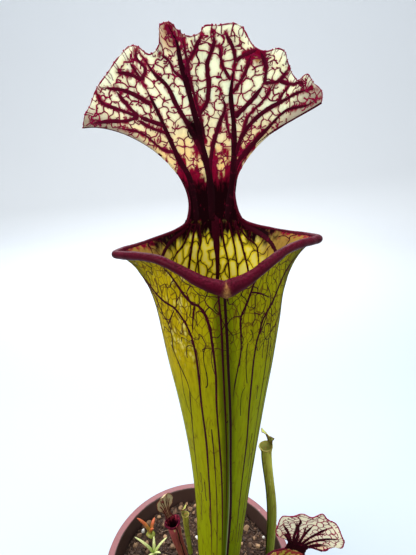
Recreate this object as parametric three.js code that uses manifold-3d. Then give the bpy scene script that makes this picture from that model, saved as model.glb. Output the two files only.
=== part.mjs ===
// A potted trumpet pitcher plant. One tall pitcher with a wide veined lid rises from a rhizome in a
// plastic flower pot of peat, with a smaller pitcher and a few young ones beside it.
// Millimetres, +Z up. The origin is the middle of the pot's flat underside, and the tall
// pitcher's mouth looks towards -Y.

import * as THREE from "three";
import { mergeVertices } from "three/addons/utils/BufferGeometryUtils.js";
import Module from "manifold-3d";

const wasm = await Module();
wasm.setup();

// ---- Driving dimensions ----

const POT = {
  rimRadius: 65, height: 112, baseRadius: 46, wall: 1.8, floor: 2.4, bevel: 2, draft: 0.8,
  flange: 5.5, flangeDepth: 3, skirtHeight: 16, skirtWall: 1.6,
  drainHoles: 6, drainRadius: 4, drainCircle: 33,
};
const SOIL = { level: 100, relief: 1.6, grains: 18, grainRadius: 1.5, grainSpread: 1.3, grainReach: 50 };

// The gap kept between pieces that touch, and the distance within which mesh points are one.
const CLEARANCE = 0.3;
const WELD = 1e-3;

// A pitcher's tube is straight up to this height above its foot.
const FOOT_DEPTH = 16;

// The rhizome: its middle, half sizes and turn about Z in radians.
const RHIZOME = { x: 17, y: -23, z: 96, length: 25, width: 13.5, height: 10, turn: -0.55 };

// The tall pitcher. Heights are above its own foot. The rim goes from the front spout round the
// right-hand corner to the neck, and is mirrored; the lid's margin goes from its lower right
// corner over the top to its lower left corner, across the lid and along its curved middle.
// lidEdges are the two handles of the curve from the neck to each lower corner.
const TALL = {
  foot: [13, -19, 93], turn: 4, lean: [0, 0], twist: 11, flatness: 0.14,
  mouthHeight: 260, mouthShift: [-3, -13.5], bow: [2.2, 0],
  radii: [[0, 5.5], [12, 6.6], [30, 9], [56, 12.2], [90, 13.8], [116, 15.1],
    [146, 17.4], [181, 21.1], [205, 24.2], [226, 26.4]],
  rim: [[0, -27, -6.4], [8, -25.5, -3.8], [16, -22, 0.2], [23, -17.2, 2.6], [31, -10.5, 2.5],
    [38, -3.5, 1], [42.3, 3, -0.3], [39.6, 8.5, -0.6], [33, 13, -0.2], [25, 17.5, 1], [18, 20.8, 2.4],
    [14, 22.6, 4], [12.4, 23, 5]],
  rimRoll: 0.06, neckY: 25, neckZ: 5, neckHalf: 12.4, neckWaist: 2.4,
  lidLean: [-6, 52], lidLength: 83, lidReflex: 5, lidHandles: [17, 26],
  lidEdges: { right: [[-2, 33], [37.5, 43.5]], left: [[-4.5, 19], [-33, 44]] },
  lidMargin: [[46, 50], [45.5, 54], [42, 56.5], [38.5, 59.5], [35, 58], [31.5, 61], [28.5, 65.5],
    [25.5, 71], [22, 73], [17.5, 73], [13.5, 74], [8, 79], [0, 80], [-5, 79.5], [-6.5, 76.5],
    [-10, 75], [-14, 78], [-18, 84], [-20.6, 82], [-21.4, 77], [-22, 72.5], [-26, 69],
    [-30, 70.5], [-37.5, 66], [-43.5, 60.5], [-48.5, 54.5], [-52, 48.5], [-54.5, 45], [-57, 39]],
  lidWaves: 2.6, wall: 1.1, hollowFrom: 0.14,
  lip: [3.8, 1.75, 1], wing: [1.4, 5.2], columns: [15, 10, 4], rows: [11, 5, 10],
};

// The smaller pitcher leans out over the rim, and its lid stands up behind its mouth.
const SIDE = {
  foot: [28, -33, 94], turn: -10, lean: [14, -13], twist: 0, flatness: 0.05,
  mouthHeight: 94, mouthShift: [0, 0], bow: [-2, 3],
  radii: [[0, 3.2], [8, 3.4], [20, 3.9], [46, 5.4], [66, 8], [84, 10]],
  rim: [[0, -9.6, -2.6], [5.5, -8.2, -1.8], [10.5, -4, -0.4], [14.6, 1.2, 0.2], [12.2, 4.6, 0.6],
    [7.6, 7.4, 1.2], [5, 8.6, 2]],
  rimRoll: 0, neckY: 9.2, neckZ: 2, neckHalf: 5, neckWaist: 1.2,
  lidLean: [-6, 14], lidLength: 38, lidReflex: -1.5, lidHandles: [7, 10], lidEdges: null,
  lidMargin: [[11.5, 10], [16, 15], [17.5, 21], [15.8, 27], [12, 31.5], [7.5, 34.5], [3.5, 35.5],
    [0, 38], [-3, 36], [-8, 36.5], [-11.5, 33], [-15, 31], [-17, 25.5], [-16.5, 20.5],
    [-15.5, 15.5], [-11.5, 10]],
  lidWaves: 0.9, wall: 0.9, hollowFrom: 0.3,
  lip: [1.3, 0.9, 0.6], wing: [1, 1.8], columns: [9, 6, 3], rows: [6, 4, 7],
};

// A young pitcher in the pot's left half. Its long narrow lid arches over its mouth.
const HOODED = {
  foot: [-6, 0, 94], turn: 36, lean: [-13, 4], twist: 0, flatness: 0,
  mouthHeight: 52, mouthShift: [0, 0], bow: [0, 1.5],
  radii: [[0, 2], [6, 2], [16, 2.3], [32, 3.2], [45, 4]],
  rim: [[0, -4.2, -1.2], [2.4, -3.6, -0.8], [4.4, -1.4, 0], [5, 1.4, 0.4], [3.8, 3, 0.8],
    [2.4, 3.8, 1.2]],
  rimRoll: 0, neckY: 4, neckZ: 1.2, neckHalf: 2.4, neckWaist: 0.2,
  lidLean: [-14, 78], lidLength: 28, lidReflex: -1.4, lidHandles: [4, 8], lidEdges: null,
  lidMargin: [[4.6, 9], [5.4, 14], [4.4, 20], [2.4, 25], [0, 28.2], [-2.4, 25], [-4.4, 20],
    [-5.4, 14], [-4.6, 9]],
  lidWaves: 0.3, wall: 0.8, hollowFrom: 0.5,
  lip: [0.8, 0.6, 0.5], wing: [0.8, 1], columns: [7, 4, 2], rows: [5, 3, 6],
};

// Slender pitchers that haven't opened: solid stalks under a small flared lid.
const SLENDER = {
  twist: 0, flatness: 0, mouthHeight: 118, mouthShift: [0, 0], bow: [1.5, 2],
  radii: [[0, 2.3], [20, 2.5], [60, 2.9], [95, 2.7], [112, 3]],
  rim: [[0, -3.6, -0.6], [2.6, -3, -0.4], [4, -0.8, 0], [3.8, 1.4, 0.4], [2.2, 2.8, 1]],
  rimRoll: 0, neckY: 3.2, neckZ: 1, neckHalf: 2.2, neckWaist: 0.2,
  lidLean: [4, 56], lidLength: 12, lidReflex: 0.6, lidHandles: [3, 3.5], lidEdges: null,
  lidMargin: [[4.4, 5.4], [5.2, 8], [3.8, 10.6], [2, 11.6], [0, 12.4], [-2, 11.6],
    [-3.8, 10.6], [-5.2, 8], [-4.4, 5.4]],
  lidWaves: 0.3, wall: 0.8, hollowFrom: null,
  lip: [0.6, 0.5, 0.4], wing: [0.8, 0.8], columns: [4, 3, 2], rows: [5, 2, 4],
};
const SLENDER_PLACES = [
  { name: "slender_pitcher_right", foot: [51, -2, 93], turn: -60, lean: [-4, 3], size: 1 },
  { name: "slender_pitcher_left", foot: [-6, 13, 94], turn: 60, lean: [-5, 3], size: 0.6, wall: 1.1,
    mouthHeight: 72, radii: [[0, 2.2], [40, 2.6], [66, 3]] },
];

// Flat sword-shaped leaves: foot, heading in degrees, length, width and outward bend.
const SWORD = { thickness: 1.6, depth: 5 };
const SWORD_LEAVES = [
  { name: "sword_leaf_right", foot: [46, -12], heading: 290, length: 60, width: 6, bend: 8 },
  { name: "sword_leaf_left", foot: [-16, -20], heading: 205, length: 52, width: 7, bend: 26 },
];

// Tufts of seedling leaves on a small crown: each leaf is [heading in degrees, length, bend].
const CROWN = { depth: 1, growth: 1.1 };
const TUFTS = [
  { name: "green_seedling", foot: [-33, 10], width: 2.6, color: 0x7d9a35,
    leaves: [[20, 19, 10], [95, 15, 7], [170, 21, 14], [250, 14, 8], [310, 17, 9]] },
  { name: "red_seedling", foot: [-38, 27], width: 3.4, color: 0xa2402a,
    leaves: [[60, 15, 6], [190, 24, 9], [300, 18, 7]] },
];

// ---- Small helpers ----

function randomFrom(seed) {
  let state = seed;
  return () => {
    state = (state * 1664525 + 1013904223) % 4294967296;
    return state / 4294967296;
  };
}

// A smooth curve through points, in any number of dimensions. at(t) takes t by chord length, 0 to 1.
function smoothCurve(points, keys = null) {
  const knots = keys ?? points.reduce((list, point, i) => {
    const step = i ? Math.hypot(...point.map((value, k) => value - points[i - 1][k])) : 0;
    return [...list, (list.at(-1) ?? 0) + step];
  }, []);
  const last = points.length - 1;
  const slope = (i, k) => (points[i + 1][k] - points[i][k]) / (knots[i + 1] - knots[i]);
  const tangent = (i, k) => {
    if (i === 0) return slope(0, k);
    if (i === last) return slope(last - 1, k);
    const before = knots[i] - knots[i - 1];
    const after = knots[i + 1] - knots[i];
    return (slope(i - 1, k) * after + slope(i, k) * before) / (before + after);
  };
  return (key) => {
    const x = THREE.MathUtils.clamp(key, knots[0], knots[last]);
    let i = 0;
    while (i < last - 1 && x > knots[i + 1]) i += 1;
    const h = knots[i + 1] - knots[i];
    const s = (x - knots[i]) / h;
    return points[i].map((value, k) => {
      const rise = points[i + 1][k] - value;
      const [m0, m1] = [tangent(i, k) * h, tangent(i + 1, k) * h];
      return value + s * m0 + s * s * (3 * rise - 2 * m0 - m1) + s ** 3 * (m0 + m1 - 2 * rise);
    });
  };
}

function alongCurve(points) {
  const at = smoothCurve(points);
  const length = points.slice(1).reduce(
    (sum, point, i) => sum + Math.hypot(...point.map((value, k) => value - points[i][k])), 0);
  return (t) => at(t * length);
}

function profile(pairs) {
  const at = smoothCurve(pairs.map((pair) => [pair[1]]), pairs.map((pair) => pair[0]));
  return (key) => at(key)[0];
}

function toSolid(positions, triangles) {
  return new wasm.Manifold(new wasm.Mesh({
    numProp: 3,
    vertProperties: Float32Array.from(positions),
    triVerts: Uint32Array.from(triangles),
  }));
}

// A three.js geometry as a solid: shared vertices are merged and triangles with no area dropped.
function solidOf(geometry) {
  const bare = new THREE.BufferGeometry().setAttribute("position", geometry.getAttribute("position"));
  bare.setIndex(geometry.getIndex());
  const merged = mergeVertices(bare, WELD);
  const index = merged.getIndex().array;
  const triangles = [];
  for (let i = 0; i < index.length; i += 3) {
    const [a, b, c] = index.slice(i, i + 3);
    if (a !== b && b !== c && a !== c) triangles.push(a, b, c);
  }
  return toSolid(merged.getAttribute("position").array, triangles);
}

// Crumbs that a cut leaves loose are dropped, and pockets that a join seals are filled:
// only the largest closed surface is kept.
function largestBody(solid) {
  return solid.decompose().reduce((best, body) => (body.volume() > best.volume() ? body : best));
}

function geometryOf(solid) {
  const mesh = solid.getMesh();
  const positions = new Float32Array(mesh.numVert * 3);
  for (let i = 0; i < mesh.numVert; i += 1) {
    positions.set(mesh.vertProperties.subarray(i * mesh.numProp, i * mesh.numProp + 3), i * 3);
  }
  const geometry = new THREE.BufferGeometry();
  geometry.setAttribute("position", new THREE.BufferAttribute(positions, 3));
  geometry.setIndex(new THREE.BufferAttribute(mesh.triVerts, 1));
  geometry.computeVertexNormals();
  return geometry;
}

// A closed tube of given radii through centres, with flat ends.
function sweptTube(centres, radii, sides) {
  const points = centres.map((centre) => new THREE.Vector3(...centre));
  const positions = [];
  const triangles = [];
  let across = new THREE.Vector3(0, 0, 1);
  points.forEach((point, i) => {
    const ahead = points[Math.min(i + 1, points.length - 1)];
    const behind = points[Math.max(i - 1, 0)];
    const along = ahead.clone().sub(behind).normalize();
    across = across.clone().addScaledVector(along, -across.dot(along)).normalize();
    const other = along.clone().cross(across);
    for (let k = 0; k < sides; k += 1) {
      const angle = (2 * Math.PI * k) / sides;
      const vertex = point.clone()
        .addScaledVector(across, radii[i] * Math.cos(angle))
        .addScaledVector(other, radii[i] * Math.sin(angle));
      positions.push(...vertex.toArray());
    }
  });
  for (let i = 0; i + 1 < points.length; i += 1) {
    for (let k = 0; k < sides; k += 1) {
      const [a, b] = [i * sides + k, i * sides + ((k + 1) % sides)];
      triangles.push(a, b, b + sides, a, b + sides, a + sides);
    }
  }
  const end = (points.length - 1) * sides;
  for (let k = 1; k + 1 < sides; k += 1) {
    triangles.push(0, k + 1, k, end, end + k, end + k + 1);
  }
  return toSolid(positions, triangles);
}

// ---- The pitcher leaf ----

const radians = THREE.MathUtils.degToRad;

// The middle surface of a pitcher's wall, in the leaf's own frame: foot at the origin, mouth
// looking along -Y. Columns run up the leaf: right side, back and lid, left side.
function pitcherSurface(leaf) {
  const radiusAt = profile(leaf.radii);
  const shoulder = leaf.radii.at(-1)[0];
  const neckAngle = Math.asin(leaf.neckHalf / leaf.radii.at(-1)[1]);
  const marginAt = alongCurve(leaf.lidMargin);

  const centreAt = (z) => {
    const share = Math.max(z - FOOT_DEPTH, 0) / (leaf.mouthHeight - FOOT_DEPTH);
    const arch = Math.sin(Math.PI * Math.min(share, 1)) ** 2;
    return [0, 1].map((k) => leaf.mouthShift[k] * share ** 1.3 + leaf.bow[k] * arch);
  };

  const tubePoint = (angle, z) => {
    const [x, y] = centreAt(z);
    const turned = angle + radians(leaf.twist) * (1 - z / leaf.mouthHeight);
    const keel = 1 + 0.05 * Math.exp(-((Math.sin(angle / 2) / 0.16) ** 2));
    const r = radiusAt(z) * keel;
    const flat = 1 - leaf.flatness * THREE.MathUtils.smoothstep(z, 0.55 * shoulder, shoulder);
    return new THREE.Vector3(x + r * Math.sin(turned), y - r * flat * Math.cos(turned), z);
  };

  // The lid's middle line leans back at the neck and bows forward towards its tip.
  const lidStep = leaf.lidLength / 60;
  const middle = [[leaf.neckY, leaf.neckZ]];
  const leanAt = (s) => radians(leaf.lidLean[0] + leaf.lidLean[1] * (s / leaf.lidLength) ** 1.5);
  for (let i = 0; i < 66; i += 1) {
    const lean = leanAt((i + 0.5) * lidStep);
    const [y, z] = middle[i];
    middle.push([y - Math.sin(lean) * lidStep, z + Math.cos(lean) * lidStep]);
  }
  const softCorner = (a) => [-0.08, -0.04, 0, 0.04, 0.08]
    .map((step) => marginAt(THREE.MathUtils.clamp((1 - a) / 2 + step, 0, 1)))
    .reduce((sum, point) => sum.map((value, k) => value + point[k] / 5), [0, 0]);
  const mix = (from, to, share) => from.map((value, k) => value + (to[k] - value) * share);
  const lidHandles = (a) => {
    const [near, far] = leaf.lidHandles;
    const soft = softCorner(a);
    const fan = Math.atan2(soft[0], soft[1] - leaf.lidLength * 0.12);
    const inner = [a * (leaf.neckHalf - leaf.neckWaist), near];
    const outer = [soft[0] - far * Math.sin(fan), soft[1] - far * Math.cos(fan)];
    if (!leaf.lidEdges) return [inner, outer];
    const edge = a > 0 ? leaf.lidEdges.right : leaf.lidEdges.left;
    return [inner, outer].map((handle, i) => mix(handle, edge[i], Math.abs(a) ** 2.5));
  };
  const lidPoint = (a, t) => {
    const across = a * leaf.neckHalf;
    const weights = [(1 - t) ** 3, 3 * t * (1 - t) ** 2, 3 * t * t * (1 - t), t ** 3];
    const [x, s] = [0, 1].map((k) => [[across, 0], ...lidHandles(a), marginAt((1 - a) / 2)]
      .reduce((sum, point, i) => sum + weights[i] * point[k], 0));
    const row = THREE.MathUtils.clamp(s / lidStep, 0, middle.length - 1.01);
    const [y, z] = mix(middle[Math.floor(row)], middle[Math.floor(row) + 1], row - Math.floor(row));
    const width = Math.abs(leaf.lidMargin[0][0]);
    const hollow = 0.016 * x * x * (1 - Math.min(s / (0.3 * leaf.lidLength), 1));
    const waves = leaf.lidWaves * t ** 4 * (Math.sin(9.5 * a) + 0.6 * Math.sin(23 * a + 1));
    const back = leaf.lidReflex * (x / width) ** 2 + waves - hollow;
    const lean = leanAt(s);
    return new THREE.Vector3(x, y + back * Math.cos(lean), leaf.mouthHeight + z + back * Math.sin(lean));
  };

  const [mouthX, mouthY] = centreAt(leaf.mouthHeight);
  const shiftToMouth = (point) => point.add(new THREE.Vector3(mouthX, mouthY, 0));
  const neckPoint = lidPoint(1, 0);
  const rimAt = alongCurve([...leaf.rim.slice(0, -1),
    [neckPoint.x, neckPoint.y, neckPoint.z - leaf.mouthHeight]]);
  const rimPoint = (share, side) => {
    const [x, y, z] = rimAt(share);
    return shiftToMouth(new THREE.Vector3(side * x, y, leaf.mouthHeight + z + leaf.rimRoll * side * x));
  };

  // The wall flares from the shoulder ring to the rim, and ends heading outwards, or up at the neck.
  const flarePoint = (angle, rim, heading, t) => {
    const foot = tubePoint(angle, shoulder);
    const start = foot.clone().sub(tubePoint(angle, shoulder - 4)).normalize();
    const reach = rim.distanceTo(foot);
    const [h00, h10] = [2 * t ** 3 - 3 * t * t + 1, t ** 3 - 2 * t * t + t];
    const [h01, h11] = [3 * t * t - 2 * t ** 3, t ** 3 - t * t];
    return foot.multiplyScalar(h00).addScaledVector(start, h10 * reach)
      .addScaledVector(rim, h01).addScaledVector(heading, h11 * reach);
  };
  const rimHeading = (angle, share) => {
    const outward = new THREE.Vector3(Math.sin(angle), -Math.cos(angle), 0.5);
    return outward.lerp(new THREE.Vector3(0, 0, 1), THREE.MathUtils.smoothstep(share, 0.72, 1)).normalize();
  };

  // The front line of the tube, from its foot through the flare to the spout.
  const frontPoint = (z) => {
    if (z <= shoulder) return tubePoint(0, z);
    const spout = rimPoint(0, 1);
    return flarePoint(0, spout, rimHeading(0, 0), (z - shoulder) / (spout.z - shoulder));
  };

  return {
    tubePoint, lidPoint, rimPoint, flarePoint, rimHeading, frontPoint, shiftToMouth, centreAt,
    neckAngle, shoulder,
  };
}

function pitcherColumns(leaf, surface) {
  const [sideCount, backCount] = leaf.columns;
  const sides = Array.from({ length: sideCount }, (_, i) => ({ side: 1, share: i / sideCount }));
  const backs = Array.from({ length: backCount + 1 }, (_, i) => ({ lid: 1 - (2 * i) / backCount }));
  const mirrored = sides.slice(1).reverse().map(({ share }) => ({ side: -1, share }));
  return [...sides, ...backs, ...mirrored].map(({ side, share, lid }) => {
    if (side === undefined) {
      const rim = surface.shiftToMouth(surface.lidPoint(lid, 0));
      return { angle: Math.PI - lid * surface.neckAngle, rim, heading: new THREE.Vector3(0, 0, 1) };
    }
    const angle = side * share * (Math.PI - surface.neckAngle);
    return { angle, rim: surface.rimPoint(share, side), heading: surface.rimHeading(angle, share) };
  });
}

// The wall as one closed solid: the middle surface moved half the wall's thickness each way,
// with the tube's foot solid below hollowFrom, or all of the tube where that is null. The lid has
// lidFactor columns for each of the tube's back columns, and the strip between them is a row of fans.
function pitcherWall(leaf, surface) {
  const columns = pitcherColumns(leaf, surface);
  const [sideCount, backCount, lidFactor] = leaf.columns;
  const [tubeRows, flareRows, lidRows] = leaf.rows;
  const count = columns.length;
  const topRow = tubeRows + flareRows;
  const lidCount = backCount * lidFactor;
  const points = [];
  for (let row = 0; row <= tubeRows; row += 1) {
    const height = (surface.shoulder * row) / tubeRows;
    columns.forEach(({ angle }) => points.push(surface.tubePoint(angle, height)));
  }
  for (let row = 1; row <= flareRows; row += 1) {
    columns.forEach(({ angle, rim, heading }) =>
      points.push(surface.flarePoint(angle, rim, heading, row / flareRows)));
  }
  const lidStart = points.length;
  for (let row = 1; row <= lidRows; row += 1) {
    for (let k = 0; k <= lidCount; k += 1) {
      points.push(surface.shiftToMouth(surface.lidPoint(1 - (2 * k) / lidCount, row / lidRows)));
    }
  }
  const faces = [];
  for (let row = 0; row < topRow; row += 1) {
    for (let k = 0; k < count; k += 1) {
      const [a, b] = [row * count + k, row * count + ((k + 1) % count)];
      faces.push([a, b, b + count, row], [a, b + count, a + count, row]);
    }
  }
  for (let k = 0; k < backCount; k += 1) {
    const root = topRow * count + sideCount + k;
    const first = lidStart + k * lidFactor;
    faces.push([root, root + 1, first + lidFactor, topRow]);
    for (let i = 0; i < lidFactor; i += 1) faces.push([root, first + i + 1, first + i, topRow]);
  }
  for (let row = 1; row < lidRows; row += 1) {
    for (let k = 0; k < lidCount; k += 1) {
      const a = lidStart + (row - 1) * (lidCount + 1) + k;
      const b = a + lidCount + 1;
      faces.push([a, a + 1, b + 1, topRow], [a, b + 1, b, topRow]);
    }
  }
  const hollowRow = leaf.hollowFrom === null ? topRow : Math.round(leaf.hollowFrom * tubeRows);
  return shellOf(points, faces, count, hollowRow, leaf.wall);
}

// Closes a sheet of faces [a, b, c, row] into a shell. Its first row is a ring of ringCount points.
function shellOf(points, faces, ringCount, hollowRow, wall) {
  const normals = points.map(() => new THREE.Vector3());
  faces.forEach(([a, b, c]) => {
    const normal = points[b].clone().sub(points[a]).cross(points[c].clone().sub(points[a]));
    [a, b, c].forEach((i) => normals[i].add(normal));
  });
  normals.forEach((normal) => normal.normalize());
  const total = points.length;
  const positions = [];
  [0.5, -0.5].forEach((share) => points.forEach((point, i) =>
    positions.push(...point.clone().addScaledVector(normals[i], share * wall).toArray())));
  const outer = faces.map((face) => face.slice(0, 3));
  const inner = faces.filter((face) => face[3] >= hollowRow)
    .map(([a, b, c]) => [a + total, c + total, b + total]);
  const triangles = [...outer, ...inner];
  const used = new Set(outer.flatMap(([a, b, c]) => [`${a},${b}`, `${b},${c}`, `${c},${a}`]));
  outer.forEach(([a, b, c]) => [[a, b], [b, c], [c, a]].forEach(([from, to]) => {
    const onFoot = from < ringCount && to < ringCount;
    if (used.has(`${to},${from}`) || onFoot) return;
    triangles.push([to, from, from + total], [to, from + total, to + total]);
  }));
  const capRing = (start, lift, inward) => {
    const centre = positions.length / 3;
    const ring = Array.from({ length: ringCount }, (_, k) => start + k);
    const mean = [0, 1, 2].map((k) => ring.reduce((sum, i) => sum + positions[3 * i + k], 0) / ringCount);
    positions.push(mean[0], mean[1], mean[2] + lift);
    ring.forEach((i, k) => {
      const next = ring[(k + 1) % ringCount];
      triangles.push(inward ? [centre, i, next] : [centre, next, i]);
    });
  };
  capRing(0, 0, false);
  capRing(total + hollowRow * ringCount, -1, true);
  return toSolid(positions, triangles.flat());
}

// The rolled lip follows the rim from one neck edge round the front to the other.
function pitcherLip(leaf, surface, sides, steps) {
  const [front, side, back] = leaf.lip;
  const lipRadius = profile([[0, front], [0.1, 0.72 * front], [0.25, 1.08 * side], [0.56, side],
    [0.8, back], [1, 0.8 * back]]);
  const centres = [];
  const radii = [];
  const [mouthX, mouthY] = surface.centreAt(leaf.mouthHeight);
  const place = (point, radius, sideways, drop) => {
    const outward = new THREE.Vector3(point.x - mouthX, point.y - mouthY, 0).normalize();
    centres.push(point.clone().addScaledVector(outward, radius * sideways)
      .add(new THREE.Vector3(0, 0, -radius * drop)).toArray());
    radii.push(radius);
  };
  const neckEdge = (a, t) => surface.shiftToMouth(surface.lidPoint(a, t));
  const neckSteps = [0.36, 0.24, 0.12];
  neckSteps.forEach((t) => place(neckEdge(-1, t), back * (0.8 - t), 0, 0));
  for (let i = steps; i >= -steps; i -= 1) {
    const share = Math.abs(i) / steps;
    const roll = 1 - THREE.MathUtils.smoothstep(share, 0.8, 1);
    place(surface.rimPoint(share, i > 0 ? -1 : 1), lipRadius(share), 0.4 * roll, 0.35 * roll);
  }
  [...neckSteps].reverse().forEach((t) => place(neckEdge(1, t), back * (0.8 - t), 0, 0));
  return sweptTube(centres, radii, sides);
}

// The wing is a thin fin down the front of the tube, deepest at mid height.
function pitcherWing(leaf, surface, stations) {
  const [thickness, depth] = leaf.wing;
  const low = Math.max(leaf.mouthHeight * 0.1, FOOT_DEPTH + 2);
  const high = surface.rimPoint(0, 1).z - leaf.lip[0];
  const positions = [];
  const triangles = [];
  for (let i = 0; i <= stations; i += 1) {
    const share = i / stations;
    const z = low + (high - low) * share;
    const root = surface.frontPoint(z);
    const [x, y] = surface.centreAt(z);
    const outward = new THREE.Vector3(root.x - x, root.y - y, 0).normalize();
    const sideways = new THREE.Vector3(-outward.y, outward.x, 0);
    const reach = 0.9 + (depth - 0.9) * Math.sin(Math.PI * share ** 0.7) ** 0.8;
    [[-1, -leaf.wall * 0.5], [-0.7, reach], [0.7, reach], [1, -leaf.wall * 0.5]].forEach(([across, out]) => {
      const vertex = root.clone().addScaledVector(sideways, (across * thickness) / 2)
        .addScaledVector(outward, out);
      positions.push(...vertex.toArray());
    });
  }
  for (let i = 0; i < stations; i += 1) {
    for (let k = 0; k < 4; k += 1) {
      const [a, b] = [4 * i + k, 4 * i + ((k + 1) % 4)];
      triangles.push(a, b, b + 4, a, b + 4, a + 4);
    }
  }
  const end = 4 * stations;
  triangles.push(0, 2, 1, 0, 3, 2, end, end + 1, end + 2, end, end + 2, end + 3);
  return toSolid(positions, triangles);
}

function pitcherSolid(leaf) {
  const surface = pitcherSurface(leaf);
  const [sideCount] = leaf.columns;
  return pitcherWall(leaf, surface)
    .add(pitcherLip(leaf, surface, sideCount > 12 ? 8 : 6, Math.round(sideCount * 1.2)))
    .add(pitcherWing(leaf, surface, leaf.rows[0]));
}

// Stands a leaf on its foot: turned about Z, then leaned in degrees towards +X and +Y.
function placeOf({ foot, turn, lean, size = 1 }) {
  const leaned = new THREE.Quaternion()
    .setFromEuler(new THREE.Euler(-radians(lean[1]), radians(lean[0]), 0));
  const turned = new THREE.Quaternion().setFromAxisAngle(new THREE.Vector3(0, 0, 1), radians(turn));
  return new THREE.Matrix4().compose(new THREE.Vector3(...foot), leaned.multiply(turned),
    new THREE.Vector3(size, size, size));
}

// ---- Flat leaves and seedling tufts ----

// A flat leaf: a thin pointed blade with a keel, rising from its foot and bending outwards.
function bladeSolid(foot, headingDegrees, length, width, bend, thickness) {
  const heading = radians(headingDegrees);
  const outward = new THREE.Vector3(Math.cos(heading), Math.sin(heading), 0);
  const sideways = new THREE.Vector3(-Math.sin(heading), Math.cos(heading), 0);
  const stations = 10;
  const positions = [];
  const triangles = [];
  for (let i = 0; i <= stations; i += 1) {
    const share = i / stations;
    const half = 0.5 * width * Math.min(0.45 + 1.6 * share, 1) * Math.sqrt(Math.max(1 - share ** 3, 0.012));
    const centre = new THREE.Vector3(...foot)
      .addScaledVector(outward, bend * share ** 2)
      .add(new THREE.Vector3(0, 0, length * share * (1 - 0.12 * share)));
    [[-half, 0], [0, -thickness / 2], [half, 0], [0, thickness]].forEach(([across, out]) => {
      positions.push(...centre.clone().addScaledVector(sideways, across)
        .addScaledVector(outward, out).toArray());
    });
  }
  for (let i = 0; i < stations; i += 1) {
    for (let k = 0; k < 4; k += 1) {
      const [a, b] = [4 * i + k, 4 * i + ((k + 1) % 4)];
      triangles.push(a, b + 4, b, a, a + 4, b + 4);
    }
  }
  const end = 4 * stations;
  triangles.push(0, 1, 2, 0, 2, 3, end, end + 2, end + 1, end, end + 3, end + 2);
  return toSolid(positions, triangles);
}

function tuftSolid({ foot, width, leaves }) {
  const root = [...foot, SOIL.level - CROWN.depth];
  const crown = solidOf(new THREE.SphereGeometry(width * CROWN.growth, 10, 8).rotateX(Math.PI / 2)
    .translate(...root));
  return leaves.reduce((made, [heading, length, bend]) =>
    made.add(bladeSolid(root, heading, length, width, bend, width * 0.5)), crown);
}

// ---- Pot, soil and rhizome ----

function latheSolid(outline, segments) {
  const points = outline.map(([radius, height]) => new THREE.Vector2(radius, height));
  return solidOf(new THREE.LatheGeometry(points, segments).rotateX(Math.PI / 2));
}

function uprightCylinder(radius, x, y, low, high, sides) {
  const geometry = new THREE.CylinderGeometry(radius, radius, high - low, sides).rotateX(Math.PI / 2);
  return solidOf(geometry.translate(x, y, (low + high) / 2));
}

// The pot's inner radius at a height: its wall tapers evenly from the flange to the base.
function potInnerRadius(height) {
  const top = POT.rimRadius - POT.flange;
  const bottom = POT.baseRadius - POT.wall;
  return bottom + ((top - bottom) * height) / POT.height;
}

function potSolid() {
  const { rimRadius, height, baseRadius, wall, floor, bevel, draft, flangeDepth, skirtWall } = POT;
  const skirtFoot = height - POT.skirtHeight;
  const underFlange = height - flangeDepth;
  const round = bevel / 2;
  const mouthRadius = potInnerRadius(height);
  const body = latheSolid([
    [0, 0], [baseRadius - bevel, 0], [baseRadius, bevel],
    [potInnerRadius(underFlange) + wall, underFlange],
    [rimRadius - skirtWall - draft / 2, underFlange], [rimRadius - skirtWall - draft, skirtFoot],
    [rimRadius - draft, skirtFoot], [rimRadius, height - round], [rimRadius - round, height],
    [mouthRadius + round, height], [mouthRadius, height - round],
    [potInnerRadius(floor), floor], [0, floor],
  ], 56);
  const holes = Array.from({ length: POT.drainHoles }, (_, i) => {
    const angle = (2 * Math.PI * i) / POT.drainHoles;
    return uprightCylinder(POT.drainRadius, POT.drainCircle * Math.cos(angle),
      POT.drainCircle * Math.sin(angle), -1, floor + 1, 14);
  });
  return holes.reduce((made, hole) => made.subtract(hole), body);
}

function soilHeight(x, y) {
  const waves = Math.sin(0.21 * x + 1.3) * Math.cos(0.17 * y - 0.6) + 0.6 * Math.sin(0.43 * x - 0.31 * y)
    + 0.45 * Math.sin(0.9 * x + 0.4) * Math.sin(0.8 * y + 1.1);
  return SOIL.level + SOIL.relief * 0.5 * waves;
}

function soilSolid(plants) {
  const bottom = POT.floor + CLEARANCE;
  const edge = (z) => potInnerRadius(z) - CLEARANCE;
  const rings = [52, 44, 36, 27, 18, 9];
  const outline = [[0, bottom], [edge(bottom), bottom], [edge(SOIL.level), SOIL.level],
    ...rings.map((radius) => [radius, SOIL.level]), [0, SOIL.level]];
  const points = outline.map(([radius, height]) => new THREE.Vector2(radius, height));
  const geometry = new THREE.LatheGeometry(points, 30).rotateX(Math.PI / 2);
  const place = geometry.getAttribute("position");
  for (let i = 0; i < place.count; i += 1) {
    const [x, y] = [place.getX(i), place.getY(i)];
    const onTop = place.getZ(i) > SOIL.level - 1;
    const edgeDrop = Math.hypot(x, y) > rings[0] + 1 ? 1 : 0;
    if (onTop) place.setZ(i, soilHeight(x, y) - edgeDrop);
  }
  const random = randomFrom(11);
  let made = solidOf(geometry);
  for (let i = 0; i < SOIL.grains; i += 1) {
    const angle = random() * 2 * Math.PI;
    const radius = SOIL.grainReach * Math.sqrt(random());
    const [x, y] = [radius * Math.cos(angle), radius * Math.sin(angle)];
    const grain = new THREE.IcosahedronGeometry(SOIL.grainRadius + SOIL.grainSpread * random(), 0)
      .rotateX(random() * 3).rotateY(random() * 3).translate(x, y, soilHeight(x, y) + 0.2);
    made = made.add(solidOf(grain));
  }
  return plants.reduce((left, plant) => left.subtract(plant), made);
}

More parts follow.
